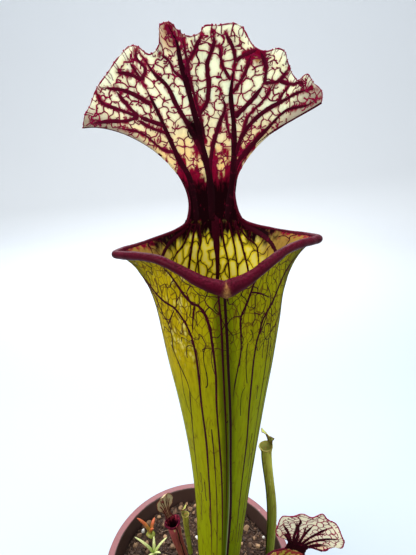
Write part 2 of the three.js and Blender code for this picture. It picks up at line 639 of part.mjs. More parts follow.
// Old leaf bases left on the rhizome: short tapered stubs, leaning along it.
const OLD_BASES = [[-17, 2, -30, 9], [-9, -6, -14, 7], [19, 3, 28, 8], [4, 8, 10, 6]];

// The rhizome with its stubs, grown by a clearance where the soil makes room for it.
function rhizomeSolid(grow) {
  const { length, width, height, turn, x, y, z } = RHIZOME;
  const body = new THREE.SphereGeometry(1, 18, 10).rotateX(Math.PI / 2);
  const place = body.getAttribute("position");
  for (let i = 0; i < place.count; i += 1) {
    const [u, v, w] = [place.getX(i), place.getY(i), place.getZ(i)];
    const rings = 1 + 0.05 * Math.sin(11 * u) * (1 - u * u);
    place.setXYZ(i, u * (length + grow), v * (width + grow) * rings, w * (height + grow) * rings);
  }
  const root = height * 0.6;
  const stubs = OLD_BASES.map(([along, across, lean, rise]) =>
    new THREE.CylinderGeometry(1.9 + grow, 3.1 + grow, rise + root + 2 * grow, 9).rotateX(Math.PI / 2)
      .translate(0, 0, (rise + root) / 2).rotateY(radians(lean)).translate(along, across, 0));
  return [body, ...stubs]
    .map((geometry) => solidOf(geometry.rotateZ(turn).translate(x, y, z)))
    .reduce((made, piece) => made.add(piece));
}

// ---- Assembly ----

const group = new THREE.Group();

function addMesh(name, solid, color, roughness, place = new THREE.Matrix4()) {
  const welded = largestBody(solidOf(geometryOf(solid).applyMatrix4(place)));
  const material = new THREE.MeshStandardMaterial({ color, roughness, metalness: 0 });
  const mesh = new THREE.Mesh(geometryOf(welded), material);
  mesh.name = name;
  group.add(mesh);
}

// A plain round hole for a leaf's foot, a little wider and deeper than the foot, leaning with it.
function footHole(leaf) {
  const { radii, wall, size = 1 } = leaf;
  const radius = profile(radii)(FOOT_DEPTH) * 1.05 + wall / 2 + (2 * CLEARANCE) / size;
  const geometry = new THREE.CylinderGeometry(radius, radius, 4 * FOOT_DEPTH, 16)
    .rotateX(Math.PI / 2).translate(0, 0, 2 * FOOT_DEPTH - CLEARANCE / size);
  return solidOf(geometry.applyMatrix4(placeOf(leaf)));
}

const pitchers = [
  { name: "tall_pitcher", leaf: TALL, color: 0x8f9a1e },
  { name: "side_pitcher", leaf: SIDE, color: 0x9a8f3a },
  { name: "hooded_pitcher", leaf: HOODED, color: 0x7a2a2c },
  ...SLENDER_PLACES.map((place) => ({ name: place.name, leaf: { ...SLENDER, ...place }, color: 0x8a8a2a })),
];
const footHoles = [];
pitchers.forEach(({ name, leaf, color }) => {
  addMesh(name, pitcherSolid(leaf), color, 0.45, placeOf(leaf));
  footHoles.push(footHole(leaf));
});

const aboveSoil = SOIL.level + 2 * FOOT_DEPTH;
SWORD_LEAVES.forEach(({ name, foot, heading, length, width, bend }) => {
  const root = SOIL.level - SWORD.depth;
  addMesh(name, bladeSolid([...foot, root], heading, length, width, bend, SWORD.thickness), 0x5f7f22, 0.5);
  footHoles.push(uprightCylinder(width * 0.36 + 1, ...foot, root - CLEARANCE, aboveSoil, 12));
});
const tuftHoles = TUFTS.map((tuft) => {
  addMesh(tuft.name, tuftSolid(tuft), tuft.color, 0.5);
  const reach = tuft.width * CROWN.growth + CLEARANCE;
  return uprightCylinder(reach, ...tuft.foot, SOIL.level - CROWN.depth - reach, aboveSoil, 14);
});

const rhizome = footHoles.reduce((made, hole) => made.subtract(hole), rhizomeSolid(0));
addMesh("rhizome", rhizome, 0x4a2d1d, 0.8);
const soil = soilSolid([...footHoles, ...tuftHoles, rhizomeSolid(CLEARANCE)]);
addMesh("soil", soil, 0x2b1d17, 0.95);
addMesh("pot", potSolid(), 0xb5645c, 0.5);

export default group;
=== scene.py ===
import math

import bpy
import numpy as np
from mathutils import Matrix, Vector, geometry


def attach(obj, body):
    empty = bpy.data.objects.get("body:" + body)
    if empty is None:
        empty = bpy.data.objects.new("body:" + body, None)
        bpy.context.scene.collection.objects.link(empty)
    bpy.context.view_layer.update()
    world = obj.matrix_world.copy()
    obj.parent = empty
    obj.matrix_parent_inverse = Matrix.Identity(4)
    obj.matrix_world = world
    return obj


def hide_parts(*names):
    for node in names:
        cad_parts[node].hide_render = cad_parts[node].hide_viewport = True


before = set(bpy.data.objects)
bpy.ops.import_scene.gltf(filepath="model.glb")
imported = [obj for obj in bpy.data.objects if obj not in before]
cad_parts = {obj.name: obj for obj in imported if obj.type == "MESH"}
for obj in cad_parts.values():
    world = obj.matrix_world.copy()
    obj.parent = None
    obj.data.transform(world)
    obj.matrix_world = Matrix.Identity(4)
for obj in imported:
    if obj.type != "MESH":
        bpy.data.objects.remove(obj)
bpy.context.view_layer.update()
print("frame loaded:", sorted(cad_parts))

perMetre = 1000   # shapes and patterns are worked out in millimetres, and meshes hold metres


# Camera, lights and floor, in metres. The focal length is in pixels of a picture imageHeight high.

view = {
    "imageHeight": 555, "focalPixels": 417, "sensor": 36, "clip": (0.01, 20),
    "place": (0.0065, -0.198, 0.406), "pitchDown": 22,
}
room = {"colour": (0.88, 0.94, 1.0), "strength": 0.62}
# name, place, what it points at, width, height, watts, colour
lights = [
    ("backLight", (-0.15, 0.75, 0.95), (0.0, 0.0, 0.33), 0.9, 0.6, 17, (0.93, 0.97, 1.0)),
    ("keyLight", (-0.75, -0.45, 0.85), (0.0, 0.0, 0.22), 0.55, 0.55, 11, (1.0, 0.97, 0.92)),
    ("fillLight", (0.8, -0.35, 0.55), (0.0, 0.0, 0.20), 0.6, 0.6, 4, (1.0, 0.99, 0.96)),
    ("topLight", (0.1, 0.05, 1.1), (0.0, 0.0, 0.10), 0.5, 0.5, 5, (1.0, 1.0, 1.0)),
]
backdrop = {
    "half": 1.6, "spread": 2.4, "columns": 9, "coveStart": 1.1, "coveRadius": 0.9, "coveSteps": 24,
    "wallAbove": 2.2, "nearColour": (0.40, 0.45, 0.51), "farColour": (0.96, 0.98, 1.0),
    "colourFrom": 0.3, "colourTo": 1.5,
}


def makeCamera():
    camera = bpy.data.cameras.new("camera")
    camera.sensor_width = view["sensor"]
    camera.lens = view["sensor"] * view["focalPixels"] / view["imageHeight"]
    camera.clip_start, camera.clip_end = view["clip"]
    holder = bpy.data.objects.new("camera", camera)
    holder.location = view["place"]
    holder.rotation_euler = (math.radians(90 - view["pitchDown"]), 0, 0)
    bpy.context.scene.collection.objects.link(holder)
    bpy.context.scene.camera = holder


def makeLights():
    world = bpy.data.worlds.new("paleRoom")
    world.use_nodes = True
    background = world.node_tree.nodes["Background"]
    background.inputs["Color"].default_value = (*room["colour"], 1)
    background.inputs["Strength"].default_value = room["strength"]
    bpy.context.scene.world = world
    for name, place, target, width, height, watts, colour in lights:
        lamp = bpy.data.lights.new(name, "AREA")
        lamp.shape = "RECTANGLE"
        lamp.size, lamp.size_y = width, height
        lamp.energy, lamp.color = watts, colour
        holder = bpy.data.objects.new(name, lamp)
        holder.location = place
        holder.rotation_euler = (Vector(target) - Vector(place)).to_track_quat("-Z", "Y").to_euler()
        holder.visible_camera = False
        bpy.context.scene.collection.objects.link(holder)


def makeFloor(material):
    # a flat pale floor that turns up through a quarter circle into a backdrop well behind the object
    half, start, radius, columns = (backdrop[key] for key in ("half", "coveStart", "coveRadius", "columns"))
    turn = np.linspace(0, math.pi / 2, backdrop["coveSteps"])
    y = np.concatenate([[-half, 0], start + radius * np.sin(turn), [start + radius]])
    z = np.concatenate([[0, 0], radius * (1 - np.cos(turn)), [radius + backdrop["wallAbove"]]])
    x = np.linspace(-backdrop["spread"] * half, backdrop["spread"] * half, columns)
    rows = [np.repeat(x[None], len(y), 0), *(np.repeat(k[:, None], columns, 1) for k in (y, z))]
    quads = gridQuads(np.arange(len(y) * columns).reshape(len(y), columns), closed=False)
    floor = meshPiece("studioFloor", np.stack(rows, -1).reshape(-1, 3) * perMetre, [quads])
    floor.data.materials.append(material)


# Meshes from arrays.

def meshPiece(name, points, faceSets, values=None, smooth=True):
    # points in millimetres; faceSets is a list of index arrays, each (faces, corners); points that no
    # face uses are left out; values are named numbers, one for each point
    mesh = bpy.data.meshes.new(name)
    used, corners = np.unique(np.concatenate([faces.ravel() for faces in faceSets]), return_inverse=True)
    points, corners = np.asarray(points)[used], corners.astype(np.int32)
    counts = np.concatenate([np.full(len(faces), faces.shape[1]) for faces in faceSets])
    starts = np.concatenate([[0], np.cumsum(counts)[:-1]]).astype(np.int32)
    mesh.vertices.add(len(points))
    mesh.vertices.foreach_set("co", (points / perMetre).astype(np.float32).ravel())
    mesh.loops.add(len(corners))
    mesh.loops.foreach_set("vertex_index", corners)
    mesh.polygons.add(len(counts))
    mesh.polygons.foreach_set("loop_start", starts)
    mesh.update(calc_edges=True)
    mesh.polygons.foreach_set("use_smooth", np.full(len(counts), smooth))
    for key, numbers in (values or {}).items():
        layer = mesh.attributes.new(key, "FLOAT", "POINT")
        layer.data.foreach_set("value", np.asarray(numbers, np.float32)[used])
    mesh.validate()
    piece = bpy.data.objects.new(name, mesh)
    bpy.context.scene.collection.objects.link(piece)
    return piece


def finishPiece(piece, slot, material, *nodes):
    piece.data.materials.clear()
    piece.data.materials.append(material)
    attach(piece, "root")
    if nodes:
        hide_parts(*nodes)
    return piece


def gridQuads(index, closed=True, flipped=False):
    # the quads of a grid of point numbers, whose last two axes are its rows and columns; in a closed
    # grid the last column is joined to the first
    after = np.roll(index, -1, axis=-1)
    if not closed:
        index, after = index[..., :-1], after[..., :-1]
    corners = [index[..., :-1, :], after[..., :-1, :], after[..., 1:, :], index[..., 1:, :]]
    if flipped:
        corners[1:] = corners[:0:-1]
    return np.stack(corners, -1).reshape(-1, 4)


def tubeFaces(tubes, steps, sides, flipped=False):
    # the walls of so many tubes of points, and a flat face over each of their ends
    index = np.arange(tubes * steps * sides).reshape(tubes, steps, sides)
    ends = np.concatenate([index[:, 0, ::-1], index[:, -1]])
    return [gridQuads(index, flipped=flipped), ends[:, ::-1] if flipped else ends]


def ringFaces(rings, sides, flipped=False):
    # the faces of a stack of rings, with a fan round each of two poles, the points after the last ring
    index = np.arange(rings * sides).reshape(rings, sides)
    after = np.roll(index, -1, axis=1)
    poles = np.repeat([[index.size], [index.size + 1]], sides, axis=1)
    fans = np.stack([poles, [after[0], index[-1]], [index[0], after[-1]]], -1).reshape(-1, 3)
    return [gridQuads(index, flipped=flipped), fans[:, [0, 2, 1]] if flipped else fans]


def circleAngles(count):
    return 2 * np.pi * np.arange(count) / count


def unit(vectors):
    # each vector along the last axis, made one long
    return vectors / np.maximum(np.linalg.norm(vectors, axis=-1, keepdims=True), 1e-9)


def vertexNormals(points, faces):
    # the sum of the triangles' cross products at each of their corners, made one unit long
    a, b, c = (points[faces[:, k]] for k in range(3))
    cross = np.cross(b - a, c - a)
    normals = np.zeros_like(points)
    for k in range(3):
        np.add.at(normals, faces[:, k], cross)
    return unit(normals)


def ribbonSolid(centre, out, width, depth, sides):
    # centre and out are (ribbons, steps, 3): an oval, width across and depth to each side along out, is
    # carried along each ribbon's steps, and both ends are closed
    ahead = np.concatenate([centre[:, 1:], 2 * centre[:, -1:] - centre[:, -2:-1]], 1)
    behind = np.concatenate([2 * centre[:, :1] - centre[:, 1:2], centre[:, :-1]], 1)
    across = unit(np.cross(out, unit(ahead - behind)))
    turn = circleAngles(sides)
    points = (centre[:, :, None] + across[:, :, None] * (width[..., None] * np.cos(turn) / 2)[..., None]
              + out[:, :, None] * (depth[..., None] * np.sin(turn))[..., None])
    return points.reshape(-1, 3), tubeFaces(*centre.shape[:2], sides)


def joined(parts):
    # several (points, faceSets, tone) as one mesh's arrays, and the tone of each point
    points, faceSets, tones, start = [], [], [], 0
    for part, faces, tone in parts:
        points.append(part)
        faceSets += [one + start for one in faces]
        tones.append(np.broadcast_to(tone, (len(part),)))
        start += len(part)
    return np.concatenate(points), faceSets, np.concatenate(tones)


def inBlocks(work, points, most=400):
    # work done on so many points at a time, which spares memory
    return np.concatenate([work(points[start:start + most]) for start in range(0, len(points), most)])


def nearestDistance(points, others):
    # for each point the distance to the closest of the others
    return inBlocks(lambda block: np.sqrt(((block[:, None] - others[None]) ** 2).sum(2).min(1)), points)


def smoothStep(x, low, high):
    # 0 below low, 1 above high, and three times the square less twice the cube of the way between
    s = np.clip((x - low) / (high - low), 0, 1)
    return s * s * (3 - 2 * s)


def smoothCurve(points, keys=None):
    # a cubic through the points; each slope is the mean of its neighbours', weighted by their spacing
    pts = np.asarray(points, float)
    pts = pts[:, None] if pts.ndim == 1 else pts
    steps = np.linalg.norm(np.diff(pts, axis=0), axis=1)
    knots = np.concatenate([[0], np.cumsum(steps)]) if keys is None else np.asarray(keys, float)
    gaps = np.diff(knots)
    slope = np.diff(pts, axis=0) / gaps[:, None]
    weighted = slope[:-1] * gaps[1:, None] + slope[1:] * gaps[:-1, None]
    tangent = np.concatenate([slope[:1], weighted / (gaps[1:] + gaps[:-1])[:, None], slope[-1:]])

    def at(key):
        key = np.clip(np.asarray(key, float), knots[0], knots[-1])
        i = np.clip(np.searchsorted(knots, key, side="left") - 1, 0, len(gaps) - 1)
        s = ((key - knots[i]) / gaps[i])[..., None]
        rise = pts[i + 1] - pts[i]
        m0, m1 = tangent[i] * gaps[i][..., None], tangent[i + 1] * gaps[i][..., None]
        return pts[i] + s * m0 + s**2 * (3 * rise - 2 * m0 - m1) + s**3 * (m0 + m1 - 2 * rise)

    at.length = knots[-1]
    return at


def evenly(route, count):
    # a route of a few points as count points on a smooth curve, evenly spaced
    curve = smoothCurve(route)
    return curve(np.linspace(0, curve.length, count))


# The form of a pitcher leaf. foot is where it stands, and clear keeps what lies on the soil off it.
# lidMargin is the outline of the flat lid, from its right edge over the top to its left.

# what all the pitchers share: the tube is straight up to footDepth, and the lid's wall thins by half
allPitchers = {
    "footDepth": 16, "shiftPower": 1.3, "keelRise": 0.05, "keelWidth": 0.16, "flatFrom": 0.55,
    "flareBelow": 4.0, "flareRise": 0.5, "flareUpFrom": 0.72,
    "lidSteps": 60, "lidFan": 0.12, "bowPower": 1.5, "flankPower": 2.5, "lidHollow": 0.016, "hollowTo": 0.3,
    "thinFrom": 0.6, "thinBy": 0.5, "angleStep": 0.01, "heightStep": 0.4,
}
tallPitcher = {
    "foot": (13, -19, 93), "clear": 8.5, "turn": 4, "lean": (0, 0), "size": 1, "twist": 11, "flatness": 0.14,
    "mouthHeight": 260, "mouthShift": (-3, -13.5), "bow": (2.2, 0),
    "radii": [(0, 5.5), (12, 6.6), (30, 9), (56, 12.2), (90, 13.8), (116, 15.1),
              (146, 17.4), (181, 21.1), (205, 24.2), (226, 26.4)],
    "rim": [(0, -27, -6.4), (8, -25.5, -3.8), (16, -22, 0.2), (23, -17.2, 2.6), (31, -10.5, 2.5),
            (38, -3.5, 1), (42.3, 3, -0.3), (39.6, 8.5, -0.6), (33, 13, -0.2), (25, 17.5, 1),
            (18, 20.8, 2.4), (14, 22.6, 4), (12.4, 23, 5)],
    "rimRoll": 0.06, "neckY": 25, "neckZ": 5, "neckHalf": 12.4, "neckWaist": 2.4,
    "lidLean": (-6, 52), "lidLength": 83, "lidReflex": 5, "lidHandles": (17, 26),
    "lidEdges": {"right": [(-2, 33), (37.5, 43.5)], "left": [(-4.5, 19), (-33, 44)]},
    "lidMargin": [(46, 50), (45.5, 54), (42, 56.5), (38.5, 59.5), (35, 58), (31.5, 61), (28.5, 65.5),
                  (25.5, 71), (22, 73), (17.5, 73), (13.5, 74), (8, 79), (0, 80), (-5, 79.5),
                  (-6.5, 76.5), (-10, 75), (-14, 78), (-18, 84), (-20.6, 82), (-21.4, 77),
                  (-22, 72.5), (-26, 69), (-30, 70.5), (-37.5, 66), (-43.5, 60.5), (-48.5, 54.5),
                  (-52, 48.5), (-54.5, 45), (-57, 39)],
    "lidWaves": 2.6, "lip": (3.3, 1.7, 1.0), "wing": (1.1, 5.2), "wall": 0.8,
    "columns": (56, 36, 4), "rows": (84, 26, 64), "hollowFrom": 0.14,
}
sidePitcher = {
    "foot": (28, -33, 94), "clear": 5, "turn": -10, "lean": (14, -13), "size": 1, "twist": 0,
    "flatness": 0.05,
    "mouthHeight": 94, "mouthShift": (0, 0), "bow": (-2, 3),
    "radii": [(0, 3.2), (8, 3.4), (20, 3.9), (46, 5.4), (66, 8), (84, 10)],
    "rim": [(0, -9.6, -2.6), (5.5, -8.2, -1.8), (10.5, -4, -0.4), (14.6, 1.2, 0.2), (12.2, 4.6, 0.6),
            (7.6, 7.4, 1.2), (5, 8.6, 2)],
    "rimRoll": 0, "neckY": 9.2, "neckZ": 2, "neckHalf": 5, "neckWaist": 1.2,
    "lidLean": (-6, 14), "lidLength": 38, "lidReflex": -1.5, "lidHandles": (7, 10), "lidEdges": None,
    "lidMargin": [(11.5, 10), (16, 15), (17.5, 21), (15.8, 27), (12, 31.5), (7.5, 34.5), (3.5, 35.5),
                  (0, 38), (-3, 36), (-8, 36.5), (-11.5, 33), (-15, 31), (-17, 25.5), (-16.5, 20.5),
                  (-15.5, 15.5), (-11.5, 10)],
    "lidWaves": 0.9, "lip": (1.3, 0.9, 0.6), "wing": (0.8, 1.8), "wall": 0.7,
    "columns": (30, 16, 4), "rows": (40, 12, 30), "hollowFrom": 0.3,
}
hoodedPitcher = {
    "foot": (-6, 0, 94), "clear": 4, "turn": 36, "lean": (-13, 4), "size": 1, "twist": 0, "flatness": 0,
    "mouthHeight": 52, "mouthShift": (0, 0), "bow": (0, 1.5),
    "radii": [(0, 2), (6, 2), (16, 2.3), (32, 3.2), (45, 4)],
    "rim": [(0, -4.2, -1.2), (2.4, -3.6, -0.8), (4.4, -1.4, 0), (5, 1.4, 0.4), (3.8, 3, 0.8),
            (2.4, 3.8, 1.2)],
    "rimRoll": 0, "neckY": 4, "neckZ": 1.2, "neckHalf": 2.4, "neckWaist": 0.2,
    "lidLean": (-14, 78), "lidLength": 28, "lidReflex": -1.4, "lidHandles": (4, 8), "lidEdges": None,
    "lidMargin": [(5.1, 9), (6.3, 14), (5.2, 20), (2.8, 25), (0, 28.4), (-2.8, 25), (-5.2, 20),
                  (-6.3, 14), (-5.1, 9)],
    "lidWaves": 0.3, "lip": (0.8, 0.6, 0.5), "wing": (0.6, 1.0), "wall": 0.6,
    "columns": (24, 12, 3), "rows": (30, 8, 26), "hollowFrom": 0.5,
}
slenderPitcher = {
    "twist": 0, "flatness": 0, "mouthHeight": 118, "mouthShift": (0, 0), "bow": (1.5, 2),
    "radii": [(0, 2.3), (20, 2.5), (60, 2.9), (95, 2.7), (112, 3)],
    "rim": [(0, -3.6, -0.6), (2.6, -3, -0.4), (4, -0.8, 0), (3.8, 1.4, 0.4), (2.2, 2.8, 1)],
    "rimRoll": 0, "neckY": 3.2, "neckZ": 1, "neckHalf": 2.2, "neckWaist": 0.2,
    "lidLean": (4, 56), "lidLength": 12, "lidReflex": 0.6, "lidHandles": (3, 3.5), "lidEdges": None,
    "lidMargin": [(4.4, 5.4), (5.2, 8), (3.8, 10.6), (2, 11.6), (0, 12.4), (-2, 11.6), (-3.8, 10.6),
                  (-5.2, 8), (-4.4, 5.4)],
    "lidWaves": 0.3, "lip": (0.6, 0.5, 0.4), "wing": (0.6, 0.8), "wall": 0.6,
    "columns": (16, 8, 3), "rows": (40, 6, 14), "hollowFrom": None,
}
slenderRight = {**slenderPitcher, "foot": (51, -2, 93), "clear": 4, "turn": -60, "lean": (-4, 3), "size": 1}
slenderLeft = {**slenderPitcher, "foot": (-6, 13, 94), "clear": 3, "turn": 60, "lean": (-5, 3), "size": 0.6,
               "wall": 1.0, "mouthHeight": 72, "radii": [(0, 2.2), (40, 2.6), (66, 3)]}


def lidThinning(t):
    return 1 - allPitchers["thinBy"] * smoothStep(t, allPitchers["thinFrom"], 1)


class PitcherForm:
    # The leaf in its own frame: foot at the origin, mouth towards -Y, millimetres. The tube's map is
    # (angle round from the front, height); above the shoulder the height runs through the flare to the
    # rim. The lid's map is (a, t): a from 1 at its right edge to -1 at its left, t from neck to margin.

    def __init__(self, leaf):
        self.leaf = leaf
        heights, widths = np.array(leaf["radii"], float).T
        self.radiusAt = smoothCurve(widths, heights)
        self.shoulder, self.mouth = heights[-1], leaf["mouthHeight"]
        self.neckAngle = np.arcsin(leaf["neckHalf"] / widths[-1])
        margin = smoothCurve(leaf["lidMargin"])
        self.marginAt = lambda share: margin(np.clip(share, 0, 1) * margin.length)
        # the lid's middle line, bowed, in short steps to a tenth past its end
        count, step = round(1.1 * allPitchers["lidSteps"]), leaf["lidLength"] / allPitchers["lidSteps"]
        lean = self.lidLean((np.arange(count) + 0.5) * step)
        self.middleKeys = np.arange(count + 1) * step
        self.middleY = leaf["neckY"] - np.concatenate([[0], np.cumsum(np.sin(lean) * step)])
        self.middleZ = leaf["neckZ"] + np.concatenate([[0], np.cumsum(np.cos(lean) * step)])
        self.mouthCentre = np.array([*self.centreAt(np.array(float(self.mouth))), 0.0])
        corner = self.lidPoint(1.0, 0.0) - self.mouthCentre - [0, 0, self.mouth]
        rim = smoothCurve(list(leaf["rim"][:-1]) + [tuple(corner)])
        self.rimAt = lambda share: rim(share * rim.length)
        self.lidGrid = None

    def lidLean(self, s):
        # the lid leans back at the neck and bows forward with a power of the way up it
        first, bow = self.leaf["lidLean"]
        share = np.maximum(s, 0) / self.leaf["lidLength"]
        return np.radians(first + bow * share ** allPitchers["bowPower"])

    def centreAt(self, z):
        # the tube's middle: straight at the foot, then bowed by a squared sine and shifted by a power
        footDepth = allPitchers["footDepth"]
        share = np.maximum(z - footDepth, 0) / (self.mouth - footDepth)
        arch = np.sin(np.pi * np.minimum(share, 1)) ** 2
        moved = share ** allPitchers["shiftPower"]
        return [self.leaf["mouthShift"][k] * moved + self.leaf["bow"][k] * arch for k in (0, 1)]

    def tubePoint(self, angle, z):
        # circles of the given radii round a bowed middle line, twisted, with a keel at the front
        x, y = self.centreAt(z)
        turned = angle + np.radians(self.leaf["twist"]) * (1 - z / self.mouth)
        keel = allPitchers["keelRise"] * np.exp(-(np.sin(angle / 2) / allPitchers["keelWidth"]) ** 2)
        r = self.radiusAt(z)[..., 0] * (1 + keel)
        flatFrom = allPitchers["flatFrom"] * self.shoulder
        flat = 1 - self.leaf["flatness"] * smoothStep(z, flatFrom, self.shoulder)
        return np.stack([x + r * np.sin(turned), y - r * flat * np.cos(turned), z], -1)

    def lidSheet(self, a, t):
        # the flat lid: a cubic from each point of the neck to its point of the margin, fanning out; the
        # flanks follow handles of their own where the leaf has them
        leaf = self.leaf
        a, t = np.broadcast_arrays(np.asarray(a, float), np.asarray(t, float))
        near, far = leaf["lidHandles"]
        soft = sum(self.marginAt((1 - a) / 2 + step) for step in (-0.08, -0.04, 0, 0.04, 0.08)) / 5
        fan = np.arctan2(soft[..., 0], soft[..., 1] - leaf["lidLength"] * allPitchers["lidFan"])
        inner = np.stack([a * (leaf["neckHalf"] - leaf["neckWaist"]), np.full(a.shape, near, float)], -1)
        outer = soft - far * np.stack([np.sin(fan), np.cos(fan)], -1)
        if leaf["lidEdges"]:
            share = (np.abs(a) ** allPitchers["flankPower"])[..., None]
            right, left = leaf["lidEdges"]["right"], leaf["lidEdges"]["left"]
            edges = [np.where((a > 0)[..., None], right[i], left[i]) for i in (0, 1)]
            inner, outer = inner + (edges[0] - inner) * share, outer + (edges[1] - outer) * share
        foot = np.stack([a * leaf["neckHalf"], np.zeros(a.shape)], -1)
        tip, t = self.marginAt((1 - a) / 2), t[..., None]
        return (1 - t)**3 * foot + 3 * t * (1 - t)**2 * inner + 3 * t**2 * (1 - t) * outer + t**3 * tip

    def lidPoint(self, a, t):
        # the flat lid laid on its bowed middle line, bent back at both sides with the square of the way
        # out, hollow near the neck, and waved at the margin by two sines that grow with t's fourth power
        leaf = self.leaf
        a, t = np.broadcast_arrays(np.asarray(a, float), np.asarray(t, float))
        x, s = np.moveaxis(self.lidSheet(a, t), -1, 0)
        waves = leaf["lidWaves"] * t**4 * (np.sin(9.5 * a) + 0.6 * np.sin(23 * a + 1))
        low = 1 - np.minimum(s / (allPitchers["hollowTo"] * leaf["lidLength"]), 1)
        hollow = allPitchers["lidHollow"] * x * x * low
        back = leaf["lidReflex"] * (x / abs(leaf["lidMargin"][0][0])) ** 2 + waves - hollow
        y = np.interp(s, self.middleKeys, self.middleY) + back * np.cos(self.lidLean(s))
        z = np.interp(s, self.middleKeys, self.middleZ) + back * np.sin(self.lidLean(s))
        return np.stack([x, y, self.mouth + z], -1) + self.mouthCentre

    def rimPoint(self, angle):
        # the measured rim, mirrored on the left; behind it the lid's foot carries on
        angle = (angle + np.pi) % (2 * np.pi) - np.pi
        side = np.where(angle < 0, -1.0, 1.0)
        share = np.abs(angle) / (np.pi - self.neckAngle)
        x, y, z = np.moveaxis(self.rimAt(np.minimum(share, 1)), -1, 0)
        front = np.stack([side * x, y, self.mouth + z + self.leaf["rimRoll"] * side * x], -1)
        behind = self.lidPoint(side * (np.pi - np.abs(angle)) / self.neckAngle, 0.0)
        return np.where((share < 1)[..., None], front + self.mouthCentre, behind), share

    def flarePoint(self, angle, t):
        # a cubic from the shoulder ring, leaving along the tube, to the rim, arriving outwards
        rim, share = self.rimPoint(angle)
        foot = self.tubePoint(angle, np.full(angle.shape, self.shoulder))
        below = np.full(angle.shape, self.shoulder - allPitchers["flareBelow"])
        start = unit(foot - self.tubePoint(angle, below))
        rise = np.full(angle.shape, allPitchers["flareRise"])
        outward = np.stack([np.sin(angle), -np.cos(angle), rise], -1)
        up = smoothStep(share, allPitchers["flareUpFrom"], 1)[..., None]
        heading = unit(outward * (1 - up) + np.array([0, 0, 1.0]) * up)
        reach, t = np.linalg.norm(rim - foot, axis=-1, keepdims=True), t[..., None]
        return ((2 * t**3 - 3 * t**2 + 1) * foot + (t**3 - 2 * t**2 + t) * reach * start
                + (3 * t**2 - 2 * t**3) * rim + (t**3 - t**2) * reach * heading)

    def wallPoint(self, angle, height):
        # the tube up to its shoulder, and the flare above
        angle, height = np.broadcast_arrays(np.asarray(angle, float), np.asarray(height, float))
        low = self.tubePoint(angle, np.minimum(height, self.shoulder))
        t = np.clip((height - self.shoulder) / (self.mouth - self.shoulder), 0, 1)
        return np.where((height > self.shoulder)[..., None], self.flarePoint(angle, t), low)

    def frontPoint(self, z):
        # the front line up to the spout, by true height
        spout = self.rimPoint(np.array(0.0))[0][2]
        flare = self.shoulder + (self.mouth - self.shoulder) * (z - self.shoulder) / (spout - self.shoulder)
        return self.wallPoint(0.0, np.where(z > self.shoulder, flare, z))

    def wallFrame(self, angle, height):
        # a point of the tube's wall and its outward direction, from small steps each way
        near, rise = allPitchers["angleStep"], allPitchers["heightStep"]
        up = np.minimum(height + rise, self.mouth)
        point = self.wallPoint(angle, height)
        around = self.wallPoint(angle + near, height) - self.wallPoint(angle - near, height)
        out = unit(np.cross(around, self.wallPoint(angle, up) - self.wallPoint(angle, up - 2 * rise)))
        return point, out, np.full(point.shape[:-1], self.leaf["wall"] / 2)

    def lidFrame(self, x, s):
        # the same for the lid, from a point of the flat lid
        a, t = self.lidPlace(x, s)
        near = allPitchers["angleStep"]
        across = self.lidPoint(a - near, t) - self.lidPoint(a + near, t)
        out = unit(np.cross(across, self.lidPoint(a, t + near) - self.lidPoint(a, t - near)))
        return self.lidPoint(a, t), out, self.leaf["wall"] / 2 * lidThinning(t)

    def lidPlace(self, x, s):
        # the (a, t) whose flat point is (x, s): the closest of a grid, then three Newton steps, each
        # with slopes from a tiny step both ways and no longer than most
        if self.lidGrid is None:
            a, t = np.meshgrid(np.linspace(-1, 1, 91), np.linspace(0, 1, 61))
            self.lidGrid = (a.ravel(), t.ravel(), self.lidSheet(a, t).reshape(-1, 2))
        gridA, gridT, gridXS = self.lidGrid
        goal = np.stack([np.ravel(x), np.ravel(s)], -1)
        best = inBlocks(lambda block: ((block[:, None] - gridXS[None]) ** 2).sum(2).argmin(1), goal)
        a, t = gridA[best], gridT[best]
        tiny, most, past = 1e-4, 0.05, 1.02
        for _ in range(3):
            byA = (self.lidSheet(a + tiny, t) - self.lidSheet(a - tiny, t)) / (2 * tiny)
            byT = (self.lidSheet(a, t + tiny) - self.lidSheet(a, t - tiny)) / (2 * tiny)
            miss = goal - self.lidSheet(a, t)
            scale = byA[:, 0] * byT[:, 1] - byA[:, 1] * byT[:, 0]
            scale = np.where(np.abs(scale) < 1e-3, 1e-3, scale)
            stepA = (miss[:, 0] * byT[:, 1] - miss[:, 1] * byT[:, 0]) / scale
            stepT = (byA[:, 0] * miss[:, 1] - byA[:, 1] * miss[:, 0]) / scale
            a, t = a + np.clip(stepA, -most, most), t + np.clip(stepT, -most, most)
            a, t = np.clip(a, -past, past), np.clip(t, 0, past)
        return a.reshape(np.shape(x)), t.reshape(np.shape(x))

    def place(self, points):
        # turned about Z, then leaned towards +X and +Y, and set on its foot
        leaf = self.leaf
        turn, leanX, leanY = np.radians([leaf["turn"], *leaf["lean"]])
        aboutZ = np.array([[np.cos(turn), -np.sin(turn), 0], [np.sin(turn), np.cos(turn), 0], [0, 0, 1]])
        aboutX = np.array([[1, 0, 0], [0, np.cos(leanY), np.sin(leanY)], [0, -np.sin(leanY), np.cos(leanY)]])
        aboutY = np.array([[np.cos(leanX), 0, np.sin(leanX)], [0, 1, 0], [-np.sin(leanX), 0, np.cos(leanX)]])
        return points * leaf["size"] @ (aboutX @ aboutY @ aboutZ).T + np.array(leaf["foot"])


# Veins.

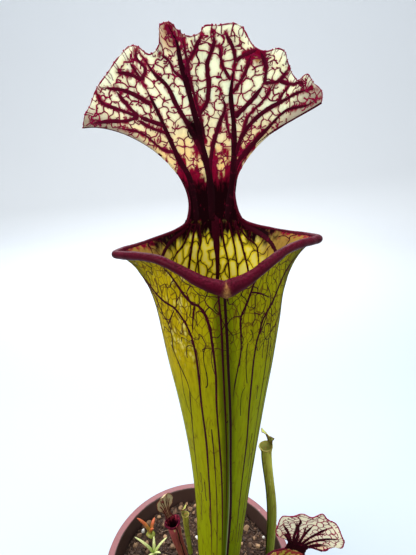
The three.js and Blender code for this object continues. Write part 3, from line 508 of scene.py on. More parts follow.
# The tall lid's main veins on the flat lid, (across, up) in millimetres, with first and last width.
lidVeins = [
    (2.8, 1.0, [(-1, -1), (-1.3, 13.5), (-3, 25), (-5, 31.5), (-6.6, 40), (-8.4, 46), (-11, 56),
                (-13.8, 66.5), (-15.5, 76), (-18, 82.5)]),
    (1.0, 0.7, [(-4.5, 36), (-5.6, 43), (-8.2, 52), (-10.6, 61), (-12.2, 70), (-14, 79)]),
    (2.6, 1.2, [(-8, -1), (-9.3, 12), (-11.5, 20.5), (-15, 26.5), (-19.5, 36.5), (-24, 47), (-28, 55),
                (-29.6, 58)]),
    (1.1, 0.6, [(-29.6, 58), (-33, 59.5), (-39.6, 61)]),
    (0.9, 0.5, [(-29.6, 58), (-34, 64)]),
    (1.1, 0.6, [(-29.6, 58), (-27.9, 63), (-30.9, 66), (-30.4, 70)]),
    (1.4, 1.1, [(-21, 41), (-25.7, 42.6), (-32, 45)]),
    (1.1, 0.7, [(-32, 45), (-37, 43), (-44, 42.8), (-53, 41.5)]),
    (1.1, 0.6, [(-32, 45), (-40.4, 47.5), (-47, 49.8), (-48.7, 54.3)]),
    (1.0, 0.6, [(-32, 45), (-36, 49), (-40.5, 55)]),
    (0.9, 0.8, [(-20, 38), (-27, 40.5), (-33, 44)]),
    (0.9, 0.5, [(-17, 30), (-22, 31.5), (-30.5, 37.8), (-41, 40.3)]),
    (1.3, 0.6, [(-26.5, 49), (-33, 53), (-38, 55), (-46, 55.7)]),
    (2.0, 0.9, [(-3.3, 26), (-8, 36.5), (-11.7, 43), (-16, 50), (-19.8, 57.7), (-24.4, 62), (-28, 67),
                (-30, 69)]),
    (1.0, 0.7, [(-12.8, 61), (-16.3, 63.3), (-18.3, 67), (-21.7, 69.2)]),
    (0.9, 0.6, [(-12.8, 61), (-12, 65), (-8.7, 70.3), (-5.5, 76.6)]),
    (1.3, 0.8, [(-7.8, 45), (-3.8, 50), (-2.7, 57), (-3.6, 65.7), (-1.5, 75), (-2.4, 79)]),
    (1.8, 0.8, [(-2, 18), (-0.9, 31.5), (2.2, 43), (4.2, 48.7), (1.5, 56)]),
    (2.8, 1.4, [(6, -1), (7.5, 10), (8.8, 20), (8.8, 31), (8, 44), (6.4, 54), (7.4, 66.7)]),
    (1.0, 0.7, [(7.4, 66.7), (6.5, 70), (2.5, 77)]),
    (1.0, 0.7, [(7.4, 66.7), (11, 70), (14.6, 73.4)]),
    (0.8, 0.5, [(5.8, 59.6), (2, 66), (0.8, 73)]),
    (0.9, 0.5, [(7.2, 54.7), (11, 62), (12.9, 71)]),
    (1.7, 1.1, [(8.2, 45), (15.4, 53), (19.6, 58.8)]),
    (1.0, 0.6, [(19.6, 58.8), (19, 66), (15.7, 73)]),
    (0.9, 0.6, [(19.6, 58.8), (25.8, 59.4), (28.5, 63.8)]),
    (0.9, 0.6, [(25.8, 59.4), (31.3, 57.5), (37, 56.3), (38.2, 54)]),
    (1.9, 0.8, [(8.8, 28), (13.3, 39.6), (21.8, 47.8), (31, 52), (42.8, 54.6)]),
    (0.8, 0.5, [(26.3, 50.4), (29, 55.5), (31.3, 57.5)]),
    (2.0, 0.7, [(8, 18), (11, 26.5), (15, 31.5), (23, 40), (30.7, 46.7), (40.4, 49), (44.5, 51.5)]),
    (0.8, 0.5, [(9, 34), (5.5, 41), (4.6, 48)]),
    (0.9, 0.5, [(12, 37), (14.5, 46), (20.5, 52.5), (24, 59)]),
]
# The tall tube's main veins: (degrees round from the front, height), with first and last width.
tubeVeins = [
    (1.3, 0.8, [(-100, 257), (-88, 247), (-76, 241), (-60, 238), (-47, 237), (-38, 234), (-32, 230),
                (-29, 221), (-29, 206), (-31, 190), (-32, 165), (-34, 147), (-35, 120), (-34, 88),
                (-32, 50)]),
    (1.2, 0.7, [(-52, 252), (-38, 244), (-32, 242), (-26, 241), (-22, 241.5), (-18, 240), (-14, 235),
                (-12, 225), (-11, 212), (-13, 190), (-13, 168), (-12, 143), (-10, 100), (-8, 60)]),
    (0.8, 0.7, [(-26, 241), (-28, 236), (-29.5, 230)]),
    (0.9, 0.6, [(-112, 252), (-96, 247), (-77, 239), (-66, 233), (-57, 230), (-55, 225), (-57, 218),
                (-52, 211), (-45, 202), (-42, 194), (-32, 190)]),
    (0.6, 0.3, [(-44, 197), (-50, 180), (-55, 165), (-60, 148), (-62, 110)]),
    (0.7, 0.6, [(-57, 230), (-47, 237)]),
    (0.8, 0.4, [(-5, 255), (-4, 239), (-4, 219), (-4, 190), (-4, 156), (-4, 100)]),
    (1.0, 0.5, [(28, 253), (24, 246), (19, 242), (13, 238), (12, 230), (12, 221), (9, 212), (6, 203),
                (4, 192)]),
    (1.3, 0.6, [(92, 257), (78, 248), (60, 240), (47, 236), (36, 233), (30, 227), (27, 217), (26, 205),
                (26, 185), (27, 166), (25, 136), (25, 100), (26, 60)]),
    (0.9, 0.7, [(104, 250), (88, 241), (70, 233), (55, 228), (43, 225), (30, 223)]),
    (0.45, 0.4, [(46, 224), (45, 190), (44, 150), (43, 100), (42, 50)]),
    (0.45, 0.4, [(57, 214), (56, 180), (55, 140), (54, 90)]),
    (0.45, 0.4, [(-22, 176), (-22, 140), (-21, 100), (-20, 55)]),
    (0.7, 0.6, [(23, 245), (34, 242), (48, 238)]),
    (0.7, 0.5, [(30, 227), (38, 232), (46, 237)]),
    (0.9, 0.4, [(98, 230), (80, 215), (70, 198), (66, 175), (64, 140), (62, 100)]),
    (4.6, 1.7, [(179, 262), (178, 256), (177, 250), (176, 243), (176, 236), (176, 228)]),
    (1.7, 0.6, [(176, 230), (177, 200), (178, 170), (180, 120), (180, 60)]),
    (1.5, 1.2, [(-86, 240), (-87, 222), (-89, 208), (-91, 180), (-94, 140), (-97, 100), (-100, 40)]),
    (1.5, 1.2, [(81, 240), (75, 222), (74, 208), (74, 180), (72, 140), (71, 100), (70, 40)]),
    (1.4, 0.6, [(197, 262), (202, 254), (205, 246), (208, 238), (210, 215), (208, 180), (206, 110)]),
    (0.9, 0.5, [(196, 259), (194, 251), (197, 246), (196, 238), (195, 214)]),
    (1.7, 0.7, [(204, 262), (211, 258.5), (222, 257), (236, 252), (248, 244), (256, 230), (258, 200)]),
    (0.9, 0.5, [(203, 259), (211, 253), (224, 249), (236, 240), (240, 220)]),
    (2.0, 0.8, [(155, 262), (150, 259), (140, 258), (126, 255), (114, 250), (105, 240), (102, 220),
                (104, 180), (106, 130)]),
    (1.2, 0.6, [(158, 261), (155, 256), (149, 248), (143, 240), (142, 220), (145, 180), (148, 110)]),
    (0.9, 0.5, [(164, 259), (158, 249), (155, 240), (153, 228)]),
    (0.9, 0.5, [(172, 259), (169, 250), (165, 243), (163, 235), (163, 205)]),
    (0.9, 0.5, [(157, 258), (146, 254), (136, 252), (131, 246), (125, 238), (122, 224)]),
]
# The fine net between the main veins grows from scattered seeds, and a pair of seeds stands beside a main
# vein at each pairStep.
netting = {
    "spacing": 3.7, "pairStep": 4.3, "pairOffset": 2.0, "pairReach": (0.75, 1.3), "pairClear": 0.55,
    "marginStep": 2.6, "marginOffset": 0.55, "smaller": 0.4, "tries": 5000, "tubeTries": 5200,
    "shortest": 0.15, "longest": 14, "dropped": 0.10, "bow": 0.17, "ripple": 0.3, "steps": 7,
    "width": (0.6, 1.25), "tubeWidth": (0.55, 1.05), "mapRadius": 26.0,
}


def cellWalls(seeds):
    # the walls between cells grown from the seeds: each joins the centres of the circles through
    # two neighbouring triangles of seeds
    found = geometry.delaunay_2d_cdt([Vector(seed) for seed in seeds], [], [], 0, 1e-5)
    corners, faces = np.array([tuple(v) for v in found[0]]), np.array(found[2])
    a, b, c = (corners[faces[:, k]] for k in range(3))
    ab, ac = b - a, c - a
    twice = 2 * (ab[:, 0] * ac[:, 1] - ab[:, 1] * ac[:, 0])
    twice = np.where(np.abs(twice) < 1e-6, 1e-6, twice)
    ab2, ac2 = (ab**2).sum(1), (ac**2).sum(1)
    across, up = ac[:, 1] * ab2 - ab[:, 1] * ac2, ab[:, 0] * ac2 - ac[:, 0] * ab2
    centres = a + np.stack([across, up], 1) / twice[:, None]
    edges = np.sort(np.concatenate([faces[:, [0, 1]], faces[:, [1, 2]], faces[:, [2, 0]]]), axis=1)
    owner = np.tile(np.arange(len(faces)), 3)
    order = np.lexsort((edges[:, 1], edges[:, 0]))
    edges, owner = edges[order], owner[order]
    twin = np.nonzero((edges[1:] == edges[:-1]).all(1))[0]
    return np.stack([centres[owner[twin]], centres[owner[twin + 1]]], 1)


def scatteredSeeds(random, low, high, spacing, seeds, tries):
    # the given seeds and random points in a box, each kept if it stands clear of those before it
    for point in random.uniform(low, high, (tries, 2)):
        if ((seeds - point) ** 2).sum(1).min() > spacing(point) ** 2:
            seeds = np.vstack([seeds, point])
    return seeds


def pairedSeeds(random, routes, setting):
    # two seeds facing each other across a vein, so that a row of cells lies along each side of it
    made, step, closest = np.zeros((0, 2)), setting["pairStep"], setting["pairClear"] * setting["spacing"]
    for route in routes:
        curve = smoothCurve(route)
        places = np.arange(step * 0.5, curve.length - step * 0.2, step)
        if len(places) == 0:
            continue
        places = places + random.uniform(-0.2, 0.2, len(places)) * step
        middle = curve(places)
        along = unit(curve(places + 0.2) - curve(places - 0.2))
        side = np.stack([-along[:, 1], along[:, 0]], 1)
        reach = setting["pairOffset"] * random.uniform(*setting["pairReach"], (len(places), 1))
        for pair in np.stack([middle + side * reach, middle - side * reach], 1):
            if len(made) == 0 or ((made[:, None] - pair) ** 2).sum(2).min() > closest**2:
                made = np.vstack([made, pair])
    return made


def bowedWalls(random, walls, steps, bow):
    # each straight wall becomes a gentle bow with a ripple, half a sine and a whole one
    share = np.linspace(0, 1, steps)[None, :, None]
    straight = walls[:, :1] * (1 - share) + walls[:, 1:] * share
    side = (walls[:, 1] - walls[:, 0])[:, ::-1] * [-1, 1]
    lift = random.normal(0, bow, (len(walls), 1, 1)) * np.sin(np.pi * share)
    ripple = random.normal(0, bow * netting["ripple"], (len(walls), 1, 1)) * np.sin(2 * np.pi * share)
    return straight + side[:, None] * (lift + ripple)


def lidNet(form, routes, random, setting):
    # cells over the whole flat lid, in rows beside the main veins and along the margin, and smaller
    # towards the margin
    edge = np.concatenate([form.lidSheet(1.0, np.linspace(0, 1, 60)),
                           form.lidSheet(np.linspace(1, -1, 300), 1.0),
                           form.lidSheet(-1.0, np.linspace(1, 0, 60))])
    outline = smoothCurve(edge[::6])
    places = np.arange(0, outline.length, setting["marginStep"])
    along = unit(outline(places + 0.3) - outline(places - 0.3))
    side = np.stack([along[:, 1], -along[:, 0]], 1) * setting["marginStep"] * setting["marginOffset"]
    border = np.concatenate([outline(places) + side, outline(places) - side])
    seeds = np.concatenate([pairedSeeds(random, routes, setting), border])
    low, high = edge.min(0) - 2, edge.max(0) + 2
    middle = np.array([0, 0.55 * form.leaf["lidLength"]])

    def spacing(point):
        outward = np.linalg.norm((point - middle) / (0.5 * (high - low)))
        return setting["spacing"] * (1.12 - setting["smaller"] * min(outward, 1))

    walls = cellWalls(scatteredSeeds(random, low, high, spacing, seeds, setting["tries"]))
    a, t = form.lidPlace(walls[..., 0], walls[..., 1])
    near = np.linalg.norm(form.lidSheet(a, t) - walls, axis=-1) < 0.6
    length = np.linalg.norm(walls[:, 1] - walls[:, 0], axis=1)
    onIt = near.all(1) & (np.abs(a) <= 1.0).all(1) & (t <= 1.0).all(1)
    return walls[onIt & (length > setting["shortest"])]


def tubeNet(form, routes, random, setting, low, stretch):
    # cells round the tube on a map of (angle x mapRadius, stretched height); the seeds are repeated a
    # turn to each side, so that the net closes behind
    ring = 2 * np.pi * setting["mapRadius"]
    lowPlace, highPlace = stretch(low), stretch(form.mouth)
    pairs = pairedSeeds(random, routes, setting)
    low, high = (-ring / 2, lowPlace), (ring / 2, highPlace + 2)
    seeds = scatteredSeeds(random, low, high, lambda point: setting["spacing"],
                           pairs[pairs[:, 1] > lowPlace], setting["tubeTries"])
    wrapped = np.concatenate([seeds, seeds + [ring, 0], seeds - [ring, 0]])
    walls = cellWalls(wrapped[np.abs(wrapped[:, 0]) < ring / 2 + 15])
    inside = np.abs(walls.mean(1)[:, 0]) <= ring / 2
    inside &= (walls[..., 1] < highPlace).all(1) & (walls[..., 1] > lowPlace).all(1)
    length = np.linalg.norm(walls[:, 1] - walls[:, 0], axis=1)
    return walls[inside & (length > setting["shortest"]) & (length < setting["longest"])]


def thickenRoutes(frameAt, routes, relief, steps=90):
    # Every main vein as one ribbon through the wall, standing proud on both faces. Its width tapers with
    # a power of the way along and swells by two sines, and it thins to a quarter over its last fifth.
    lines = np.stack([evenly(route, steps) for _, _, route in routes])
    share = np.linspace(0, 1, steps)[None]
    first, last = (np.array([route[k] for route in routes])[:, None] for k in (0, 1))
    width = first + (last - first) * share**0.8
    width = width * (1 + 0.10 * np.sin(9 * share + first * 7) + 0.06 * np.sin(31 * share + last * 11))
    point, out, half = frameAt(lines)
    fade = 1 - 0.75 * smoothStep(share, 0.78, 1)
    rise = relief * np.sqrt(width / width.max()) * fade * (0.2 + 0.8 * smoothStep(share, 0, 0.06))
    return ribbonSolid(point, out, width * fade, half + rise, 10)


# Leaf pieces.

wallValues = ("lidShare", "green", "gold", "warm", "neck", "blush", "window", "burn", "ear", "band", "fold")
lipShape = {"sides": 20, "steps": 110, "tailTop": 0.42, "tailFoot": 0.04, "tailSteps": 12}
smallLipShape = {**lipShape, "sides": 14, "steps": 60}
# a thin fin's section: (across, out), with a bead along its outer edge
wingSection = [(-0.5, -0.4), (-0.36, 0.35), (-0.38, 0.7), (-0.5, 0.86), (-0.42, 1.0), (0, 1.07),
               (0.42, 1.0), (0.5, 0.86), (0.38, 0.7), (0.36, 0.35), (0.5, -0.4)]


def pitcherWall(name, form, fields):
    # One closed wall for tube, flare and lid: the middle surface moved half the thickness each way.
    # fields(kind, map points) gives the named values that the finish reads; the rest are nought.
    leaf = form.leaf
    sideCount, backCount, lidFactor = leaf["columns"]
    tubeRows, flareRows, lidRows = leaf["rows"]
    topRow, lidCount = tubeRows + flareRows, backCount * lidFactor
    sides = np.arange(sideCount) / sideCount * (np.pi - form.neckAngle)
    backs = np.pi - form.neckAngle * np.linspace(1, -1, backCount + 1)
    angles = np.concatenate([sides, backs, 2 * np.pi - sides[:0:-1]])
    heights = np.concatenate([np.linspace(0, form.shoulder, tubeRows + 1),
                              np.linspace(form.shoulder, form.mouth, flareRows + 1)[1:]])
    across, up = np.linspace(1, -1, lidCount + 1), np.linspace(0, 1, lidRows + 1)[1:] ** 0.9
    tubeMap = np.stack(np.meshgrid(angles, heights), -1).reshape(-1, 2)
    lidMap = np.stack(np.meshgrid(across, up), -1).reshape(-1, 2)
    points = np.concatenate([form.wallPoint(*tubeMap.T), form.lidPoint(*lidMap.T)])
    total, count = len(points), len(angles)
    # the outer side: the tube, the lid, and fans between the rim's back and the lid's finer first row
    grid = np.arange(len(tubeMap)).reshape(topRow + 1, count)
    lidGrid = len(tubeMap) + np.arange(len(lidMap)).reshape(lidRows, lidCount + 1)
    roots = grid[-1, sideCount:sideCount + backCount + 1]
    fans = [np.stack([roots[:-1], roots[1:], lidGrid[0, lidFactor::lidFactor]], -1)]
    for k in range(lidFactor):
        fans.append(np.stack([roots[:-1], lidGrid[0, k + 1::lidFactor][:backCount],
                              lidGrid[0, k::lidFactor][:backCount]], -1))
    lid, fans = gridQuads(lidGrid, closed=False), np.concatenate(fans)
    outer = [gridQuads(grid), lid, fans]
    triangles = [f[:, [0, 1, 2]] for f in outer] + [f[:, [0, 2, 3]] for f in outer[:2]]
    normals = vertexNormals(points, np.concatenate(triangles))
    thin = np.concatenate([np.ones(len(tubeMap)), lidThinning(lidMap[:, 1])])
    half = (leaf["wall"] / 2 * thin)[:, None] * normals
    # the inner side starts at the foot of the hollow, where a flat plug closes it
    hollowRow = topRow if leaf["hollowFrom"] is None else round(leaf["hollowFrom"] * tubeRows)
    inner = [gridQuads(grid[hollowRow:]), lid, fans]
    plug = (total + hollowRow * count + np.arange(count))[None]
    # each edge of only one face, apart from the foot's, gets a quad across the wall
    directed = np.concatenate([np.stack([f, np.roll(f, -1, axis=1)], -1).reshape(-1, 2) for f in outer])
    keys = directed[:, 0] * total + directed[:, 1]
    single = directed[~np.isin(keys, directed[:, 1] * total + directed[:, 0])]
    single = single[~(single < count).all(1)]
    rim = np.stack([single[:, 1], single[:, 0], single[:, 0] + total, single[:, 1] + total], -1)
    tubeFields, lidFields = fields("tube", tubeMap), fields("lid", form.lidSheet(*lidMap.T))
    values = {}
    for key in wallValues:
        both = [tubeFields.get(key, np.zeros(len(tubeMap))), lidFields.get(key, np.zeros(len(lidMap)))]
        values[key] = np.tile(np.concatenate(both), 2)
    values["innerFace"] = np.repeat([0.0, 1.0], total)
    faceSets = outer + [f[:, ::-1] + total for f in inner] + [rim, grid[0][::-1][None], plug]
    return meshPiece(name, form.place(np.concatenate([points + half, points - half])), faceSets, values)


def pitcherLip(name, form, shape):
    # A roll of changing radius carried round the rim, from one neck edge past the spout to the other,
    # with a thin tail up each flank of the lid.
    front, side, back = form.leaf["lip"]
    steps, tailSteps = shape["steps"], shape["tailSteps"]
    radiusAt = smoothCurve([front, 0.72 * front, 1.08 * side, side, back, 0.8 * back],
                           [0, 0.1, 0.25, 0.56, 0.8, 1])
    reach = np.concatenate([-np.linspace(1, 0, steps, endpoint=False), np.linspace(0, 1, steps + 1)])
    share = np.abs(reach)
    rim = form.rimPoint(np.sign(reach) * np.minimum(share, 0.9999) * (np.pi - form.neckAngle))[0]
    radius = radiusAt(share)[:, 0]
    roll = 1 - smoothStep(share, 0.8, 1)
    outward = unit((rim - form.mouthCentre) * [1, 1, 0])
    sink = np.array([0, 0, 1]) * (0.22 * radius * roll)[:, None]
    middle = rim + outward * (0.4 * radius * roll)[:, None] - sink
    up = np.linspace(shape["tailTop"], shape["tailFoot"], tailSteps)
    thin = back * (0.78 - up)
    line = np.concatenate([form.lidPoint(-1.0, up), middle, form.lidPoint(1.0, up[::-1])])
    shares = np.concatenate([np.full(tailSteps, -1.0), reach, np.full(tailSteps, 1.0)])
    swell = 1 + 0.03 * np.sin(37 * shares) + 0.02 * np.sin(83 * shares)
    radii = np.concatenate([thin, radius, thin[::-1]]) * swell
    ahead = np.gradient(line, axis=0)
    upward = unit(np.cross(unit(np.cross(ahead, [0, 0, 1.0])), ahead))
    points, faces = ribbonSolid(line[None], upward[None], 2 * radii[None], radii[None], shape["sides"])
    # facing, how far each point of the roll faces up, is kept as upward: the finish paints its highlight
    # there
    facing = np.tile(np.sin(circleAngles(shape["sides"])), len(line))
    seam = np.exp(-(shares / 0.006) ** 2)
    values = {"spout": np.repeat(seam, shape["sides"]), "upward": np.clip(facing, 0, 1)}
    return meshPiece(name, form.place(points), faces, values)


def pitcherWing(name, form, stations=110):
    # a thin fin down the front: the section is carried up the front line, widest at its middle
    leaf = form.leaf
    thickness, depth = leaf["wing"]
    low = max(0.1 * form.mouth, allPitchers["footDepth"] + 2)
    spout = form.rimPoint(np.array(0.0))[0][2]
    share = np.linspace(0, 1, stations)
    z = low + (spout - leaf["lip"][0] * 0.6 - low) * share
    root = form.frontPoint(z)
    outward = unit((root - np.stack([*form.centreAt(z), z], -1)) * [1, 1, 0])
    sideways = np.stack([-outward[:, 1], outward[:, 0], np.zeros(stations)], -1)
    reach = 0.7 + (depth - 0.9) * np.sin(np.pi * share**0.7) ** 0.8
    ripple = 0.22 * np.sin(19 * share) * np.sin(np.pi * share)
    across, out = np.array(wingSection).T
    offset = np.where(out < 0, out * leaf["wall"], out * reach[:, None])
    bend = ripple[:, None] * np.clip(out, 0, 1)
    points = (root[:, None] + sideways[:, None] * (across * thickness + bend)[..., None]
              + outward[:, None] * offset[..., None])
    # litLeftFlank marks a band of the fin's left face, on its lower part, where the finish paints a pale
    # highlight as if lit
    flank = np.where((across < -0.3) & (out > 0.5) & (out < 0.8), 1.0, 0.0)
    values = {"bead": np.tile(np.where(out > 0.8, 1.0, 0.0), stations),
              "litLeftFlank": (flank * (1 - smoothStep(share, 0.55, 0.75))[:, None]).ravel()}
    return meshPiece(name, form.place(points.reshape(-1, 3)), tubeFaces(1, stations, len(out)), values)


def bladeSurface(foot, heading, length, width, bend, thickness, stations=44, sides=18):
    # A pointed blade: its middle line rises and bends outwards with the square of the way up, and its
    # section is a lens with a blunt keel on one side. Returns points and faces of a closed surface, and
    # how far up the blade each point is.
    turn = math.radians(heading)
    outward = np.array([math.cos(turn), math.sin(turn), 0])
    sideways = np.array([-math.sin(turn), math.cos(turn), 0])
    share = np.linspace(0, 1, stations)
    half = 0.5 * width * np.minimum(0.45 + 1.6 * share, 1) * np.sqrt(np.maximum(1 - share**3, 0.004))
    middle = (np.array(foot) + outward * (bend * share**2)[:, None]
              + np.array([0, 0, 1]) * (length * share * (1 - 0.12 * share))[:, None])
    phi = circleAngles(sides)
    keel = np.where(np.sin(phi) > 0, thickness, thickness / 2) * np.sin(phi) * np.abs(np.sin(phi)) ** 0.6
    thin = np.minimum(1, 4 * (1 - share) + 0.15)
    ripple = 1 + 0.04 * np.sin(7 * phi)[None] * np.minimum(1, 5 * share)[:, None]
    points = (middle[:, None] + sideways * (half[:, None] * np.cos(phi) * ripple)[..., None]
              + outward * (thin[:, None] * keel)[..., None])
    return points.reshape(-1, 3), tubeFaces(1, stations, sides, flipped=True), np.repeat(share, sides)


# Pot, soil and rhizome.

pot = {
    "rimRadius": 65, "height": 112, "baseRadius": 46, "wall": 1.8, "floor": 2.4, "flange": 5.5,
    "flangeDepth": 3, "skirtHeight": 16, "skirtWall": 1.6, "draft": 0.8, "segments": 160,
    "drainHoles": 6, "drainRadius": 4, "drainCircle": 33, "holeSides": 32, "sharpAngle": 38,
}
soil = {
    "level": 100, "relief": 1.6, "gap": 0.3, "rings": 70, "segments": 200, "edgeDrop": 1.4, "edgeWidth": 2.5,
    "lumps": 420, "lumpReach": (1.2, 4.2), "lumpHeight": (-0.5, 0.9), "lumpsWithin": 56, "grainsWithin": 56.5,
}
# grains that lie on the soil; lift is how much of its size a grain's middle stands above the surface
grains = {
    "peatCrumbs": {"finish": "peatCrumb", "slot": "peat", "count": 2600, "size": (0.35, 1.5), "lift": 0.15,
                   "squash": (0.5, 1.0), "sides": 6, "rings": 3, "smooth": False},
    "gritChips": {"finish": "tanChip", "slot": "grit", "count": 150, "size": (0.9, 2.6), "lift": 0.3,
                  "squash": (0.45, 0.9), "sides": 7, "rings": 4, "smooth": False},
    "perliteGrains": {"finish": "palePerlite", "slot": "grit", "count": 28, "size": (0.8, 1.9), "lift": 0.45,
                      "squash": (0.7, 1.0), "sides": 7, "rings": 4, "smooth": True},
}
fibres = {
    "count": 190, "steps": 9, "sides": 5, "clear": (0.5, 0.6), "bend": 0.28, "stride": (0.5, 1.5),
    "width": (0.25, 0.6), "flatness": 0.35, "lift": 0.35, "arch": 0.8,
}
# oldBases are stubs of old leaves: along, across, lean in degrees, rise
rhizome = {
    "place": (17, -23, 96), "length": 25, "width": 13.5, "height": 10, "turn": -0.55,
    "rings": 70, "sides": 110,
    "oldBases": [(-17, 2, -30, 9), (-9, -6, -14, 7), (19, 3, 28, 8), (4, 8, 10, 6)],
    "stubSteps": 16, "stubSides": 20, "stubRadius": 3.1, "stubTaper": 1.2, "stubFlatness": 0.45,
    "fraying": (-1.2, 0.8),
}


def roundedOutline(corners, steps=6):
    # corners are (radius, height, rounding); each rounded corner becomes a curve that starts and ends
    # on its two straight sides
    made = [np.array([corners[0][:2]], float)]
    for before, here, after in zip(corners, corners[1:], corners[2:]):
        corner, rounding = np.array(here[:2], float), here[2]
        into, away = corner - before[:2], np.array(after[:2]) - corner
        start = corner - into / np.linalg.norm(into) * rounding
        end = corner + away / np.linalg.norm(away) * rounding
        t = np.linspace(0, 1, steps)[:, None]
        made.append((1 - t) ** 2 * start + 2 * t * (1 - t) * corner + t * t * end)
    return np.concatenate(made + [np.array([corners[-1][:2]], float)])


def lathed(outline, segments):
    # an outline that starts and ends on the axis, turned round Z; both poles are single points
    angles = circleAngles(segments)
    radius, height = outline[1:-1].T
    ring = np.stack([radius[:, None] * np.cos(angles), radius[:, None] * np.sin(angles),
                     np.broadcast_to(height[:, None], (len(radius), segments))], -1).reshape(-1, 3)
    points = np.concatenate([ring, [[0, 0, outline[0, 1]], [0, 0, outline[-1, 1]]]])
    return points, ringFaces(len(radius), segments)


def potInnerRadius(height):
    # the inside of the wall is a plain cone
    top, bottom = pot["rimRadius"] - pot["flange"], pot["baseRadius"] - pot["wall"]
    return bottom + (top - bottom) * height / pot["height"]


def makePot(material):
    # one lathed outline: base, outer wall, a hanging skirt under the rim, and the inside, then drilled
    height, wall, rim, draft = pot["height"], pot["wall"], pot["rimRadius"], pot["draft"]
    under, skirtFoot = height - pot["flangeDepth"], height - pot["skirtHeight"]
    skirtInner = rim - pot["skirtWall"] - draft
    outline = roundedOutline([
        (0, 0, 0), (pot["baseRadius"], 0, 1.6), (potInnerRadius(under) + wall, under, 0.4),
        (skirtInner + draft / 2, under, 0.4), (skirtInner, skirtFoot, 0.5),
        (rim - draft, skirtFoot, 0.6), (rim, height, 1.3), (potInnerRadius(height), height, 1.1),
        (potInnerRadius(pot["floor"]), pot["floor"], 1.5), (0, pot["floor"], 0)])
    points, faces = lathed(outline, pot["segments"])
    piece = meshPiece("flowerPot", points, faces)
    drill = []
    for k in range(pot["drainHoles"]):
        angle = 2 * math.pi * k / pot["drainHoles"]
        middle = [pot["drainCircle"] * math.cos(angle), pot["drainCircle"] * math.sin(angle), 0]
        radius, top = pot["drainRadius"], pot["floor"] + 2
        post = np.array([(0, -2), (radius, -2), (radius, top), (0, top)], float)
        hole, holeFaces = lathed(post, pot["holeSides"])
        drill.append((hole + middle, holeFaces, 0.0))
    points, faces, _ = joined(drill)
    cutter = meshPiece("drillSet", points, faces)
    cut = piece.modifiers.new("drainHoles", "BOOLEAN")
    cut.operation, cut.object, cut.solver = "DIFFERENCE", cutter, "EXACT"
    bpy.context.view_layer.update()
    drilled = bpy.data.meshes.new_from_object(piece.evaluated_get(bpy.context.evaluated_depsgraph_get()))
    piece.modifiers.clear()
    piece.data = drilled
    bpy.data.objects.remove(cutter)
    drilled.set_sharp_from_angle(angle=math.radians(pot["sharpAngle"]))
    return finishPiece(piece, "terracotta_plastic", material, "pot")


def onDisc(random, count, radius):
    # random places spread evenly over a disc
    turn, away = random.uniform(0, 2 * np.pi, count), radius * np.sqrt(random.uniform(0, 1, count))
    return away * np.cos(turn), away * np.sin(turn)


def soilTop(x, y, lumps):
    # slow waves, as wide as the pot, and on them small soft lumps of peat, each a bell of its own
    slow = (np.sin(0.21 * x + 1.3) * np.cos(0.17 * y - 0.6) + 0.6 * np.sin(0.43 * x - 0.31 * y)
            + 0.45 * np.sin(0.9 * x + 0.4) * np.sin(0.8 * y + 1.1))
    height = soil["level"] + soil["relief"] * 0.5 * slow

    def lumpRise(block):
        gap = ((block[:, None] - lumps[None, :, :2]) ** 2).sum(2)
        return (lumps[:, 3] * np.exp(-gap / lumps[:, 2] ** 2)).sum(1)

    rise = inBlocks(lumpRise, np.stack([np.ravel(x), np.ravel(y)], -1), 2000)
    return height + rise.reshape(np.shape(x))


def makeSoil(material, random):
    # a lathed plug that fills the pot, its top raised by soilTop and rounded off at the wall; lumps are
    # (x, y, reach, height)
    count = soil["lumps"]
    lumps = np.stack([*onDisc(random, count, soil["lumpsWithin"]), random.uniform(*soil["lumpReach"], count),
                      random.uniform(*soil["lumpHeight"], count)], -1)
    edge = potInnerRadius(soil["level"]) - soil["gap"]
    low = pot["floor"] + soil["gap"]
    radii = np.linspace(edge, 0, soil["rings"] + 1)
    outline = np.concatenate([[[0, low], [potInnerRadius(low) - soil["gap"], low]],
                              np.stack([radii, np.full(len(radii), soil["level"])], -1)])
    points, faces = lathed(outline, soil["segments"])
    top = points[:, 2] > soil["level"] - 1
    x, y = points[top, :2].T
    points[top, 2] = soilTop(x, y, lumps) - soil["edgeDrop"] * smoothStep(
        np.hypot(x, y), edge - soil["edgeWidth"], edge)
    finishPiece(meshPiece("peatBed", points, faces), "peat", material, "soil")
    return lumps


def pebbles(random, place, size, grain):
    # small rough grains: a coarse ball for each, its points pushed in or out, flattened and turned
    sides, rings, squash = grain["sides"], grain["rings"], grain["squash"]
    polar, around = np.pi * np.arange(1, rings + 1) / (rings + 1), circleAngles(sides)
    ball = np.stack([np.sin(polar)[:, None] * np.cos(around), np.sin(polar)[:, None] * np.sin(around),
                     np.broadcast_to(np.cos(polar)[:, None], (rings, sides))], -1).reshape(-1, 3)
    ball = np.concatenate([ball, [[0, 0, 1], [0, 0, -1]]])
    count, each = len(place), len(ball)
    rough = ball[None] * random.uniform(0.72, 1.22, (count, each, 1))
    rough = rough * np.stack([random.uniform(0.8, 1.3, count), random.uniform(0.7, 1.1, count),
                              random.uniform(*squash, count)], -1)[:, None]
    turn = random.normal(size=(count, 4))
    w, x, y, z = (turn / np.linalg.norm(turn, axis=1, keepdims=True)).T
    spin = np.stack([1 - 2 * (y * y + z * z), 2 * (x * y - w * z), 2 * (x * z + w * y),
                     2 * (x * y + w * z), 1 - 2 * (x * x + z * z), 2 * (y * z - w * x),
                     2 * (x * z - w * y), 2 * (y * z + w * x), 1 - 2 * (x * x + y * y)], -1).reshape(-1, 3, 3)
    points = np.einsum("nij,nkj->nki", spin, rough) * size[:, None, None] + place[:, None]
    shift = (np.arange(count) * each)[:, None, None]
    return points.reshape(-1, 3), [(faces[None] + shift).reshape(-1, faces.shape[1])
                                   for faces in ringFaces(rings, sides, flipped=True)]


